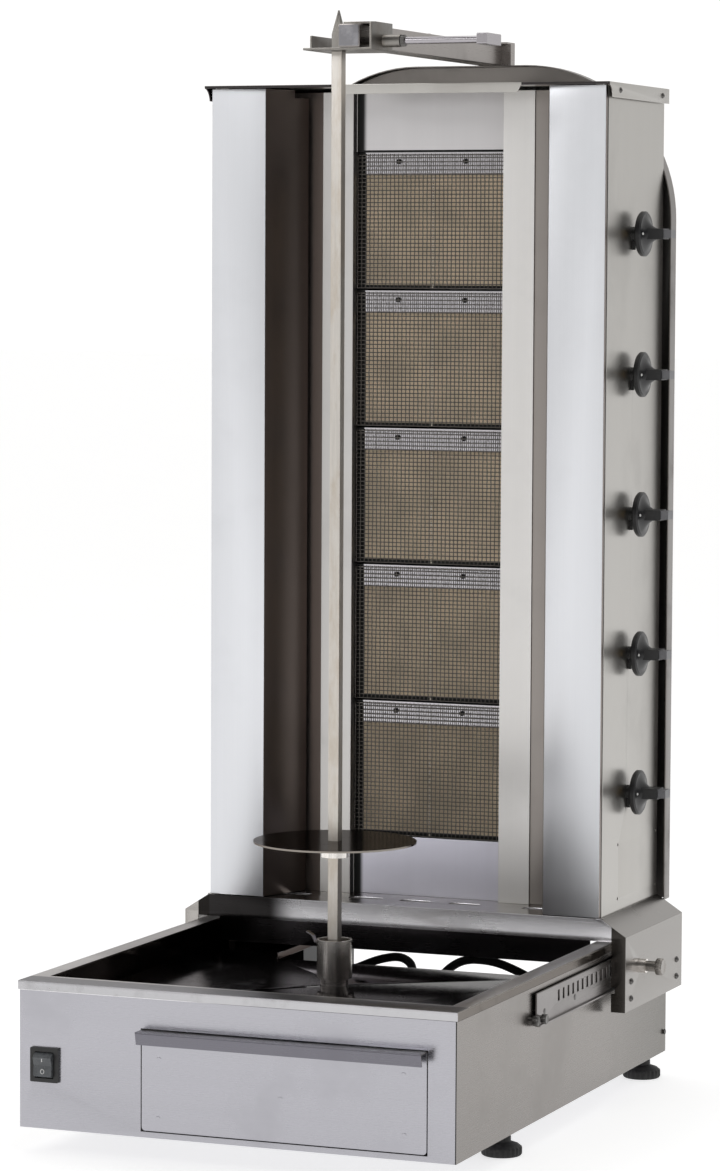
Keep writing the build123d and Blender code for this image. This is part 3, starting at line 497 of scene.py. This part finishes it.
def carriage_light_and_shade(steel, spot, normal):
    """Painted light and shade on the saddle: front faces lighter than its other faces, the deflector under
    the skirt dark, the skirt black towards the left and beyond the left shoulder, the flanges' fronts grey on
    the left and dark on the right, and faces turned down dark.
    """
    across = steel.axis(spot, "X")
    front = steel.axis(normal, "Y") < -0.7
    deflector = front * (steel.axis(spot, "Z") < skirt_low)
    leftward = steel.ease(across, -125 * MM, -165 * MM)
    beyond = abs(across) > shoulder
    flange = abs(across) > flange_edge
    right = across > 0.0
    low = steel.axis(normal, "Z") < -0.5
    return (
        # painted light: the front faces are lighter than the saddle's other faces
        (front, (0.84, 0.83, 0.86)),
        # painted shade: the deflector under the skirt is dark
        (deflector, (0.13, 0.12, 0.125)),
        # painted reflection of dark surroundings: the skirt turns black towards the left
        (front * leftward, (0.03, 0.028, 0.028)),
        # painted shade: black beyond the left shoulder
        (front * beyond * (1.0 - right), (0.02, 0.018, 0.017)),
        # painted light and shade: the left flange's front grey, the right one dark
        (front * flange * (1.0 - right), (0.42, 0.40, 0.38)),
        (front * flange * right, (0.06, 0.055, 0.05)),
        # painted shade on the faces turned down
        (low, (0.1, 0.1, 0.1)),
    )


def base_shade_and_seam(steel, spot, normal):
    """Painted reflection darkens the side sheets against the front, most at the back, and painted shade
    darkens the lip's front; the corner seam is dark.
    """
    side = abs(steel.axis(normal, "X")) > 0.7
    lip = (steel.axis(spot, "Y") < base_low.y - 12 * MM) * (steel.axis(normal, "Y") < -0.5)
    seam = (steel.axis(spot, "X") > base_high.x - 1.2 * MM) * (steel.axis(normal, "Y") < -0.7)
    rearward = steel.ease(steel.axis(spot, "Y"), 150 * MM, base_high.y)
    return (
        # painted reflection: the side sheets are darker and warmer than the front, most at the back
        (side, (0.24, 0.222, 0.208)),
        (side * rearward, (0.16, 0.15, 0.135)),
        # painted shade on the lip's front
        (lip, (0.19, 0.185, 0.21)),
        (seam, (0.03, 0.03, 0.03)),
    )


def lid_tints(steel, spot, normal):
    """The lid's front edge beside its brow, and its left side flange, are in shade."""
    across = steel.axis(spot, "X")
    beyond = steel.add(
        "ShaderNodeMath", {"operation": "MAXIMUM"}, {0: across < brow_left, 1: across > brow_right}
    )
    edge = (steel.axis(spot, "Y") < lid_low.y + 2 * MM) * beyond
    hook = (across < lid_low.x + 2 * MM) * (steel.axis(normal, "Z") < 0.7)
    return ((edge, (0.05, 0.045, 0.045)), (hook, (0.05, 0.045, 0.045)))


def clamp_tints(steel, spot, normal):
    """Blackened screw heads on the clamp strips, and shade at the strips' left ends."""
    across = steel.axis(spot, "X")
    strips = (steel.axis(spot, "Y") > clamp_low.y - MM) * (abs(across) < guard_high.x)
    heads = strips * (steel.axis(spot, "Y") < clamp_low.y + 1.9 * MM)
    return (
        (strips, (0.59, 0.57, 0.59)),
        (heads, (0.02, 0.02, 0.02)),
        (strips * (across < shade_edge), (0.02, 0.02, 0.02)),
    )


def arm_tone_and_shade(steel, spot, normal):
    """The arm and its bracket are paler than the rails, with painted shade on their tops."""
    above = steel.axis(spot, "Z") > lid_high.z
    upper = steel.axis(normal, "Z") > 0.7
    # painted shade: the tops are darker than the sides
    return ((above, (0.33, 0.305, 0.29)), (above * upper, (0.17, 0.155, 0.15)))


def worn_patch(steel, spot):
    """The scuffed left front of the tray's floor."""
    leftward = steel.ease(steel.axis(spot, "X"), -10 * MM, -70 * MM)
    forward = steel.ease(steel.axis(spot, "Y"), -70 * MM, -120 * MM)
    return leftward * forward


def tray_satin(steel, spot):
    """The rim and the scuffed floor are satin, the rest of the tray is polished."""
    return (steel.axis(spot, "Z") > base_high.z - 0.5 * MM) * 1.0 + worn_patch(steel, spot) * 0.8


def tray_wear_and_shade(steel, spot, normal):
    """Painted shade darkens the tray towards the right, the walls inside it and the rim's outward sides; a
    worn patch is bright at the floor's left front, and the rim above the walls is lighter, palest behind its
    front.
    """
    wall = abs(steel.axis(normal, "Z")) < 0.5
    between = abs(steel.axis(spot, "X")) < base_high.x - 15 * MM
    inside = between * (steel.axis(spot, "Y") > base_low.y + 20 * MM)
    rim = steel.axis(spot, "Z") > base_high.z - 8 * MM
    side = abs(steel.axis(normal, "X")) > 0.7
    return (
        # painted shade: the tray is darker towards the right
        (steel.ease(steel.axis(spot, "X"), -60 * MM, 60 * MM), (0.06, 0.056, 0.057)),
        (worn_patch(steel, spot), (0.95, 0.94, 0.95)),
        (rim, (0.50, 0.495, 0.51)),
        (rim * (steel.axis(spot, "Y") > base_low.y + 30 * MM), (0.90, 0.88, 0.87)),
        # painted shade on the rim's outward sides
        (rim * side, (0.32, 0.30, 0.28)),
        # painted shade on the walls inside the tray
        (wall * inside, (0.10, 0.088, 0.083)),
    )


finishes = {
    "brushed_base": brushed_steel(
        "brushed_base", (0.45, 0.445, 0.48), 0.27, "level", 0.25, 0.8, 0.03, base_shade_and_seam
    ),
    "polished_tray": polished_steel(
        "polished_tray", (0.36, 0.35, 0.36), 0.06, 0.35, (0.10, 0.09, 0.085), tray_wear_and_shade, tray_satin
    ),
    "black_rubber": rubber("black_rubber", (0.012, 0.012, 0.012)),
    "zinc_hardware": plated("zinc_hardware", (0.15, 0.145, 0.14), 0.22),
    "motor_paint": painted("motor_paint", (0.10, 0.11, 0.12)),
    "turned_steel": turned_steel("turned_steel", (0.88, 0.84, 0.80), 0.16, 0.5),
    "black_plastic": moulded("black_plastic", (0.012, 0.012, 0.012), 0.35),
    "dark_enclosure": painted("dark_enclosure", (0.03, 0.03, 0.03)),
    "black_lead": rubber("black_lead", (0.015, 0.015, 0.016)),
    "brushed_rail": brushed_steel(
        "brushed_rail", (0.245, 0.23, 0.225), 0.28, "depth", 0.4, regions=arm_tone_and_shade
    ),
    "plain_steel": brushed_steel("plain_steel", (0.50, 0.50, 0.50), 0.38, "level", 0.5),
    "grey_rocker": moulded("grey_rocker", (0.075, 0.08, 0.085), 0.22),
    "bright_steel": brushed_steel(
        "bright_steel", (0.42, 0.40, 0.42), 0.22, "across", 0.2, regions=clamp_tints
    ),
    "worn_spit_steel": spit_steel("worn_spit_steel", (0.68, 0.645, 0.60)),
    "polished_disc": polished_steel("polished_disc", (0.27, 0.245, 0.22), 0.10, 0.4, (0.10, 0.08, 0.065)),
    "brushed_carriage": brushed_steel(
        "brushed_carriage", (0.30, 0.285, 0.27), 0.26, "level", 0.35, regions=carriage_light_and_shade
    ),
    "brushed_panel": brushed_steel(
        "brushed_panel", (0.47, 0.455, 0.43), 0.30, "upright", 0.2, regions=lid_tints
    ),
    "smudged_cover": brushed_steel("smudged_cover", (0.24, 0.225, 0.215), 0.34, "level", 0.9, 0.6),
    "satin_frame": brushed_steel(
        "satin_frame", (0.78, 0.765, 0.75), 0.32, "upright", 0.2, regions=frame_tone_and_shade
    ),
    "ceramic_tile": ceramic("ceramic_tile", (0.86, 0.69, 0.51)),
    "wire_mesh": plated("wire_mesh", (0.13, 0.12, 0.11), 0.22),
    "gas_brass": warm_metal("gas_brass", (0.72, 0.52, 0.24)),
    "gas_copper": warm_metal("gas_copper", (0.78, 0.42, 0.28)),
    "bright_wing": brushed_steel(
        "bright_wing", (0.75, 0.76, 0.79), 0.34, "upright", 0.12, regions=wing_painted_reflections
    ),
    "black_knob": knob_plastic("black_knob", knob_high.x - tip_length),
}
pale_cap = moulded("pale_cap", (0.24, 0.235, 0.25), 0.4)
cream_paper = moulded("cream_paper", (0.85, 0.78, 0.66), 0.8, 500.0)
dark_turned = turned_steel("dark_turned", (0.30, 0.28, 0.26), 0.2, 0.6)
white_mark = moulded("white_mark", (0.62, 0.62, 0.60), 0.4)

slot_of = {part["node"]: part["material_slot"] for part in frame["record"]["subparts"]}


def dress(piece, finish):
    """Give a piece one finish on all its slots."""
    piece.data.materials.clear()
    piece.data.materials.append(finish)


for name, node in frame["nodes"].items():
    for slot in node.material_slots:
        slot.material = finishes[slot_of[name]]


# ---------------------------------------------------------------- pieces
def finished(name, shape, body, slot, sharp=35.0, finish=None):
    """Turn a bmesh into a piece that rides on a body and takes a slot's finish, or its own."""
    mesh = bpy.data.meshes.new(name)
    shape.to_mesh(mesh)
    shape.free()
    for face in mesh.polygons:
        face.use_smooth = True
    mesh.set_sharp_from_angle(angle=math.radians(sharp))
    piece = bpy.data.objects.new(name, mesh)
    bpy.context.scene.collection.objects.link(piece)
    dress(piece, finish or finishes[slot])
    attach(piece, body)
    return piece


def body_holding(node):
    for body, members in frame["record"]["behaviour"]["bodies"].items():
        if node in members:
            return body
    raise ValueError(node)


def eased(node, width):
    """A copy of a frame piece with its sharp edges rounded over, as deburred sheet and bar have them."""
    shape = bmesh.new()
    shape.from_mesh(frame["nodes"][node].data)
    bmesh.ops.remove_doubles(shape, verts=shape.verts, dist=0.00001)
    bmesh.ops.dissolve_limit(
        shape, angle_limit=math.radians(0.6), verts=shape.verts, edges=shape.edges, delimit={"NORMAL"}
    )
    crisp = [
        edge for edge in shape.edges
        if len(edge.link_faces) == 2 and edge.calc_face_angle(0.0) > math.radians(40)
    ]
    bmesh.ops.bevel(
        shape, geom=crisp, offset=width, offset_type="OFFSET", segments=2, profile=0.6,
        affect="EDGES", clamp_overlap=False,
    )
    piece = finished(f"{node}_eased", shape, body_holding(node), slot_of[node], 25.0)
    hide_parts(node)


def tube(shape, points, radius, sides):
    """A closed tube along points, added to a bmesh."""
    rings = []
    for index, point in enumerate(points):
        before = points[max(index - 1, 0)]
        after = points[min(index + 1, len(points) - 1)]
        ahead = (after - before).normalized()
        if index == 0:
            side = ahead.orthogonal().normalized()
        else:
            side = (side - ahead * side.dot(ahead)).normalized()
        up = ahead.cross(side)
        rings.append([
            shape.verts.new(
                point + (side * math.cos(math.tau * k / sides) + up * math.sin(math.tau * k / sides)) * radius
            )
            for k in range(sides)
        ])
    for ring, following in zip(rings, rings[1:]):
        for k in range(sides):
            shape.faces.new((ring[k], ring[(k + 1) % sides], following[(k + 1) % sides], following[k]))
    shape.faces.new(list(reversed(rings[0])))
    shape.faces.new(rings[-1])


def turned(shape, start, direction, profile, sides=32, flutes=0):
    """Add a turned form: rings at (along, radius, flute depth) from a start point, closed at both ends."""
    ahead = Vector(direction)
    side = ahead.orthogonal().normalized()
    up = ahead.cross(side)
    rings = []
    for along, radius, depth in profile:
        ring = []
        for k in range(sides):
            angle = math.tau * k / sides
            reach = radius - depth * (0.5 - 0.5 * math.cos(flutes * angle))
            way = side * math.cos(angle) + up * math.sin(angle)
            ring.append(shape.verts.new(Vector(start) + ahead * along + way * reach))
        rings.append(ring)
    for ring, following in zip(rings, rings[1:]):
        for k in range(sides):
            after = (k + 1) % sides
            shape.faces.new((ring[k], ring[after], following[after], following[k]))
    shape.faces.new(list(reversed(rings[0])))
    shape.faces.new(rings[-1])


def block(shape, low, high, soft=0.0):
    """Add a box between two corners, its edges rounded over where asked."""
    made = bmesh.ops.create_cube(shape, size=1.0)["verts"]
    for vert in made:
        for k in range(3):
            vert.co[k] = (low[k] + high[k]) / 2 + vert.co[k] * (high[k] - low[k])
    if soft:
        edges = {edge for vert in made for edge in vert.link_edges}
        bmesh.ops.bevel(
            shape, geom=list(edges), offset=soft, offset_type="OFFSET", segments=3, profile=0.5,
            affect="EDGES", clamp_overlap=True,
        )


def islands(node):
    """The low and high corners of each separate solid of a frame piece."""
    shape = bmesh.new()
    shape.from_mesh(frame["nodes"][node].data)
    bmesh.ops.remove_doubles(shape, verts=shape.verts, dist=0.00001)
    waiting = set(shape.verts)
    boxes = []
    while waiting:
        front = [waiting.pop()]
        reached = list(front)
        while front:
            vert = front.pop()
            for edge in vert.link_edges:
                other = edge.other_vert(vert)
                if other in waiting:
                    waiting.remove(other)
                    reached.append(other)
                    front.append(other)
        low = Vector([min(vert.co[k] for vert in reached) for k in range(3)])
        high = Vector([max(vert.co[k] for vert in reached) for k in range(3)])
        boxes.append((low, high))
    shape.free()
    return sorted(boxes, key=lambda pair: tuple(round(value, 4) for value in pair[0]))


def replacing(node, shape, sharp=35.0, finish=None):
    """Finish a shape as the stand-in for one frame piece."""
    piece = finished(f"{node}_shaped", shape, body_holding(node), slot_of[node], sharp, finish)
    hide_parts(node)


cell_across = 5.04 * MM              # between the screen's upright wires
cell_up = 4.68 * MM                  # and between its level ones
wire = 0.58 * MM                     # a wire's radius
screen_drop = 1.5 * MM               # a screen's top, below the guards' top at its burner
screen_gap = 4.5 * MM                # between one screen and the next
rod_drop = 3.0 * MM


def wire_guard(shape, number):
    """Woven wire screen of one burner: the wires pass over and under, and loop over a top rod."""
    top = guard_high.z - burner_pitch * (number - 1) - screen_drop
    bottom = top - burner_pitch + screen_gap
    middle = (guard_low.y + guard_high.y) / 2
    lift = wire * 1.05
    columns = int((guard_high.x - guard_low.x - 2 * wire) / cell_across) + 1
    rows = int((top - bottom) / cell_up)
    left = (guard_low.x + guard_high.x - (columns - 1) * cell_across) / 2
    base = top - rows * cell_up
    for column in range(columns):
        x = left + column * cell_across
        sway = 0.25 * MM * math.sin(column * 2.1 + number)
        points = [Vector((x, middle, bottom))]
        for row in range(rows):
            side = 1 if (row + column) % 2 else -1
            bend = sway * math.sin(row * 0.37)
            points.append(Vector((x + bend, middle + side * lift, base + row * cell_up)))
        points.append(Vector((x, middle - lift, top - 1.6 * MM)))
        points.append(Vector((x, middle, top - 0.3 * MM)))
        points.append(Vector((x, middle + lift, top - 1.6 * MM)))
        tube(shape, points, wire, 6)
    for row in range(rows):
        z = base + row * cell_up
        points = [Vector((guard_low.x, middle, z))]
        for column in range(columns):
            side = -1 if (row + column) % 2 else 1
            points.append(Vector((left + column * cell_across, middle + side * lift, z)))
        points.append(Vector((guard_high.x, middle, z)))
        tube(shape, points, wire, 6)


screens = bmesh.new()
for number in range(1, burner_count + 1):
    wire_guard(screens, number)
replacing("mesh_guards", screens, 80.0)

# thin bright rods that the screens hang from
rods = bmesh.new()
for number in range(1, burner_count + 1):
    hook = guard_high.z - burner_pitch * (number - 1) - rod_drop
    middle = (guard_low.y + guard_high.y) / 2
    reach = guard_high.x - guard_low.x
    turned(rods, (guard_low.x, middle, hook), (1, 0, 0), ((0, wire, 0), (reach, wire, 0)), 8)
finished("screen_rods", rods, "carriage", "wire_mesh")

# pale ceramic joint between each burner's two tiles, broken into short dabs
joints = bmesh.new()
dab_pitch = 3.1 * MM
dab_half = 0.85 * MM
dab_proud = 0.5 * MM
for number in range(1, burner_count + 1):
    top = tile_high.z - burner_pitch * (number - 1)
    height = tile_high.z - tile_low.z - burner_pitch * (burner_count - 1)
    dots = int(height / dab_pitch)
    for dot in range(dots):
        z = top - (dot + 0.5) * height / dots
        wander = 0.35 * MM * math.sin(dot * 2.7 + number)
        long = (0.9 + 0.35 * math.sin(dot * 1.9)) * MM
        block(
            joints,
            (wander - dab_half, tile_low.y - dab_proud, z - long),
            (wander + dab_half, tile_low.y + dab_proud, z + long),
            0.15 * MM,
        )
finished("tile_joints", joints, "carriage", "ceramic_tile", finish=cream_paper)

# feet: rubber pads with a fluted grip
feet = bmesh.new()
for low, high in islands("foot_pads"):
    centre = ((low.x + high.x) / 2, (low.y + high.y) / 2, low.z)
    wide = (high.x - low.x) / 2
    tall = high.z - low.z
    turned(feet, centre, (0, 0, 1), (
        (0, wide - 2.2 * MM, 0), (0.6 * MM, wide - 1.2 * MM, 0), (2 * MM, wide, 1.3 * MM),
        (9 * MM, wide, 1.3 * MM), (9.8 * MM, wide - 0.9 * MM, 0.6 * MM), (11 * MM, wide - 2.5 * MM, 0),
        (12 * MM, wide - 3.6 * MM, 0), (15 * MM, 10 * MM, 0), (tall - 0.6 * MM, 10 * MM, 0),
        (tall, 9.4 * MM, 0),
    ), 120, 24)
replacing("foot_pads", feet, 40.0)

# domed socket screws of the saddle and the lid
heads = bmesh.new()
for low, high in islands("panel_screws"):
    out = 1 if low.x > 0 else -1
    start = (low.x if out > 0 else high.x, (low.y + high.y) / 2, (low.z + high.z) / 2)
    wide = (high.y - low.y) / 2
    proud = high.x - low.x
    turned(heads, start, (out, 0, 0), (
        (0, wide, 0), (proud * 0.25, wide, 0), (proud * 0.6, wide * 0.86, 0),
        (proud * 0.88, wide * 0.62, 0),
        (proud, wide * 0.46, 0), (proud * 0.9, wide * 0.4, 0.0), (proud * 0.3, wide * 0.36, 0),
    ), 24)
replacing("panel_screws", heads)

# knurled stops at the rails' ends, and the screws of the rails and of the base's rear corner
stops = bmesh.new()
for low, high in islands("rail_screws"):
    out = 1 if low.x > 0 else -1
    start = (low.x if out > 0 else high.x, (low.y + high.y) / 2, (low.z + high.z) / 2)
    wide = (high.y - low.y) / 2
    proud = high.x - low.x
    if proud > 2 * MM:
        turned(stops, start, (out, 0, 0), (
            (0, wide * 0.7, 0), (proud * 0.35, wide * 0.7, 0), (proud * 0.36, wide, 0.7 * MM),
            (proud - 0.8 * MM, wide, 0.7 * MM), (proud, wide * 0.86, 0), (proud - 0.5 * MM, wide * 0.3, 0),
        ), 108, 18)
    else:
        turned(stops, start, (out, 0, 0), (
            (0, wide, 0), (proud * 0.6, wide * 0.9, 0), (proud, wide * 0.6, 0),
        ), 24)
replacing("rail_screws", stops)

# the lock's pull knob, with a knurled head
low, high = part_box("lock_plunger")
long = high.x - low.x
pull = bmesh.new()
turned(pull, (low.x, (low.y + high.y) / 2, (low.z + high.z) / 2), (1, 0, 0), (
    (0, 2.1 * MM, 0), (0.5 * MM, 2.6 * MM, 0), (7 * MM, 2.6 * MM, 0), (7.1 * MM, 6 * MM, 0),
    (long - 8 * MM, 6 * MM, 0), (long - 7.9 * MM, 8.8 * MM, 0), (long - 7.2 * MM, 9.5 * MM, 0.5 * MM),
    (long - 1 * MM, 9.5 * MM, 0.5 * MM), (long, 8.5 * MM, 0), (long - 0.4 * MM, 5.5 * MM, 0),
), 144, 36)
replacing("lock_plunger", pull, finish=dark_turned)

# white index dots on the knobs
dot_offset = 17.5 * MM
for number in range(1, burner_count + 1):
    low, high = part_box(f"knob_{number}")
    dot_y = (low.y + high.y) / 2 - dot_offset
    dot_z = (low.z + high.z) / 2
    spot, normal = frame["nodes"][f"knob_{number}"].ray_cast(
        Vector((high.x + 0.1, dot_y, dot_z)), Vector((-1, 0, 0))
    )[1:3]
    dot = bmesh.new()
    turned(dot, spot - normal * 0.5 * MM, normal, (
        (0, 1.5 * MM, 0), (0.7 * MM, 1.5 * MM, 0), (0.9 * MM, 1.1 * MM, 0),
    ), 20)
    finished(f"knob_dot_{number}", dot, f"grip_{number}", "black_knob", finish=white_mark)

# on and off marks moulded on the rocker
low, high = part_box("switch_rocker")
marks = bmesh.new()
mark_x = (low.x + high.x) / 2
mark_z = (low.z + high.z) / 2


def rocker_face(x, z):
    """The Y of the rocker's face at an X and a Z."""
    spot = frame["nodes"]["switch_rocker"].ray_cast(
        Vector((x, low.y - 0.1, z)), Vector((0, 1, 0))
    )[1]
    return spot.y


bar_y = rocker_face(mark_x, mark_z + 6.5 * MM)
block(
    marks,
    (mark_x - 0.5 * MM, bar_y - 0.4 * MM, mark_z + 4.4 * MM),
    (mark_x + 0.5 * MM, bar_y + 0.6 * MM, mark_z + 8.6 * MM),
)
ring_z = mark_z - 6.2 * MM
ring_y = rocker_face(mark_x, ring_z) - 0.1 * MM
ring_points = []
for k in range(25):
    angle = math.tau * k / 24
    ring_points.append(
        Vector((mark_x + 2 * MM * math.cos(angle), ring_y, ring_z + 2.4 * MM * math.sin(angle)))
    )
tube(marks, ring_points, 0.4 * MM, 6)
finished("rocker_marks", marks, "rocker", "grey_rocker", finish=white_mark)

# spot welds that hold the drawer's box to its front, in mm from the front's lower left corner
low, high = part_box("drawer_front")
welds = bmesh.new()
weld_spots = ((20, 77), (19, 14), (158.5, 45.5), (296, 81.5), (297, 18.5))
for x, z in weld_spots:
    turned(welds, (low.x + x * MM, low.y + 0.2 * MM, low.z + z * MM), (0, -1, 0), (
        (0, 3.0 * MM, 0), (0.26 * MM, 2.7 * MM, 0), (0.34 * MM, 2.0 * MM, 0), (0.28 * MM, 1.2 * MM, 0),
    ), 24)
finished("drawer_welds", welds, "drawer", "brushed_base")

# dark knurled ring where the clamp's rod enters its boss
low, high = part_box("clamp_screw")
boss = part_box("holder_head")[1].x
ring = bmesh.new()
turned(ring, (boss + 0.4 * MM, (low.y + high.y) / 2, (low.z + high.z) / 2), (1, 0, 0), (
    (0, 4.4 * MM, 0), (0.2 * MM, 6.4 * MM, 0.5 * MM), (4.5 * MM, 6.4 * MM, 0.5 * MM),
    (5 * MM, 5.6 * MM, 0),
    (5.2 * MM, 4.2 * MM, 0),
), 96, 24)
finished("clamp_ring", ring, "clamp", "bright_steel", finish=finishes["zinc_hardware"])

# moulded end plug of the arm and the screws on its top
low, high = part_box("arm")
plug = bmesh.new()
inset = 1.2 * MM
block(
    plug,
    (low.x + inset, low.y - 1.6 * MM, low.z + inset),
    (high.x - inset, low.y + MM, high.z - inset),
    inset,
)
finished("arm_plug", plug, "carriage", "black_plastic", finish=pale_cap)
tops = bmesh.new()
arm_screw_places = (110 * MM, 240 * MM)
for y in arm_screw_places:
    turned(tops, ((low.x + high.x) / 2, low.y + y, high.z - 0.2 * MM), (0, 0, 1), (
        (0, 3.4 * MM, 0), (0.9 * MM, 3.4 * MM, 0), (1.8 * MM, 2.6 * MM, 0), (2.1 * MM, 1.4 * MM, 0),
        (1.2 * MM, 1.2 * MM, 0),
    ), 24)
finished("arm_screws", tops, "carriage", "zinc_hardware")

for node, width in (
    ("base_housing", 0.5 * MM),
    ("drip_tray", 0.6 * MM),
    ("drawer_front", 0.35 * MM),
    ("drawer_lip", 0.4 * MM),
    ("saddle", 0.45 * MM),
    ("side_panel_left", 0.4 * MM),
    ("side_panel_right", 0.4 * MM),
    ("wing_left", 0.45 * MM),
    ("wing_right", 0.45 * MM),
    ("top_lid", 0.4 * MM),
    ("rear_cover", 0.45 * MM),
    ("front_frame", 0.4 * MM),
    ("arm", 1.2 * MM),
    ("holder_head", 0.5 * MM),
    ("rail_left", 0.4 * MM),
    ("rail_right", 0.4 * MM),
    ("spit_bar", 0.5 * MM),
):
    eased(node, width)

# ---------------------------------------------------------------- floor, light and camera
floor_level = cad_low.z


def studio_floor():
    """A wide pale sweep that the broiler stands on."""
    shape = bmesh.new()
    reach = 40.0
    signs = ((-1, -1), (1, -1), (1, 1), (-1, 1))
    corners = [shape.verts.new((x * reach, y * reach, floor_level)) for x, y in signs]
    shape.faces.new(corners)
    mesh = bpy.data.meshes.new("studio_floor")
    shape.to_mesh(mesh)
    shape.free()
    floor = bpy.data.objects.new("studio_floor", mesh)
    bpy.context.scene.collection.objects.link(floor)
    paper = new_finish("studio_paper")
    fleck = paper.noise(paper.place(), 3.0, 2.0)
    paper.surface(
        Base_Color=paper.mixed(fleck, (0.58, 0.58, 0.58), (0.62, 0.62, 0.62)),
        Roughness=0.9,
        Emission_Color=(1.0, 1.0, 1.0),
        Emission_Strength=0.66,
    )
    mesh.materials.append(paper.owner)


studio_floor()


def studio_world():
    """A soft room: bright low down in front and behind, dark overhead in front and to the right."""
    world = bpy.data.worlds.new("studio_room")
    bpy.context.scene.world = world
    room = Finish(world)
    way = room.add("ShaderNodeTexCoord", output="Generated")

    def towards(x, y, low, high):
        length = math.hypot(x, y)
        along = room.add(
            "ShaderNodeVectorMath",
            {"operation": "DOT_PRODUCT"},
            {0: way, 1: (x / length, y / length, 0.0)},
            "Value",
        )
        return room.ease(along, low, high)

    height = room.axis(way, "Z")
    front = towards(-0.37, -0.93, -0.1, 0.7)
    right = towards(0.9, -0.42, 0.55, 0.95)
    above = room.ease(height, 0.07, 0.24)
    glow = 0.82 - front * above * 0.58 - room.ease(height, 0.3, 0.7) * 0.12
    glow = glow * (1.0 - right * 0.85)
    seen = room.add("ShaderNodeLightPath", output="Is Camera Ray")
    strength = glow * (1.0 - seen) + seen * 1.05
    shade = room.tree.nodes["Background"]
    room.feed(shade.inputs["Color"], (1.0, 0.995, 0.985))
    room.feed(shade.inputs["Strength"], strength)


studio_world()


def soft_box(name, place, target, width, height, power):
    lamp = bpy.data.lights.new(name, "AREA")
    lamp.shape = "RECTANGLE"
    lamp.size = width
    lamp.size_y = height
    lamp.energy = power
    holder = bpy.data.objects.new(name, lamp)
    bpy.context.scene.collection.objects.link(holder)
    holder.location = place
    holder.rotation_euler = (Vector(target) - Vector(place)).to_track_quat("-Z", "Y").to_euler()


middle = (cad_low + cad_high) / 2
soft_box("key_light", (-2.2, -3.2, 3.0), middle, 1.8, 1.8, 35.0)
soft_box("top_light", (0.2, 0.3, 3.6), middle, 2.4, 2.4, 22.0)


def place_camera():
    """The viewpoint: right of the front, a little above the spit's middle, looking slightly down."""
    yaw, pitch, roll = 0.3819, 0.074, 0.0051
    ahead = Vector((-math.sin(yaw) * math.cos(pitch), math.cos(yaw) * math.cos(pitch), -math.sin(pitch)))
    level = Vector((math.cos(yaw), math.sin(yaw), 0.0))
    upward = level.cross(ahead)
    right = level * math.cos(roll) + upward * math.sin(roll)
    top = upward * math.cos(roll) - level * math.sin(roll)
    lens = bpy.data.cameras.new("camera")
    lens.lens = 130.9
    lens.sensor_width = 36.0
    eye = bpy.data.objects.new("camera", lens)
    bpy.context.scene.collection.objects.link(eye)
    eye.location = (1.7578, -4.3069, 0.9133)
    eye.rotation_euler = Matrix((right, top, -ahead)).transposed().to_euler()
    bpy.context.scene.camera = eye


place_camera()
bpy.context.scene.view_settings.view_transform = "Standard"
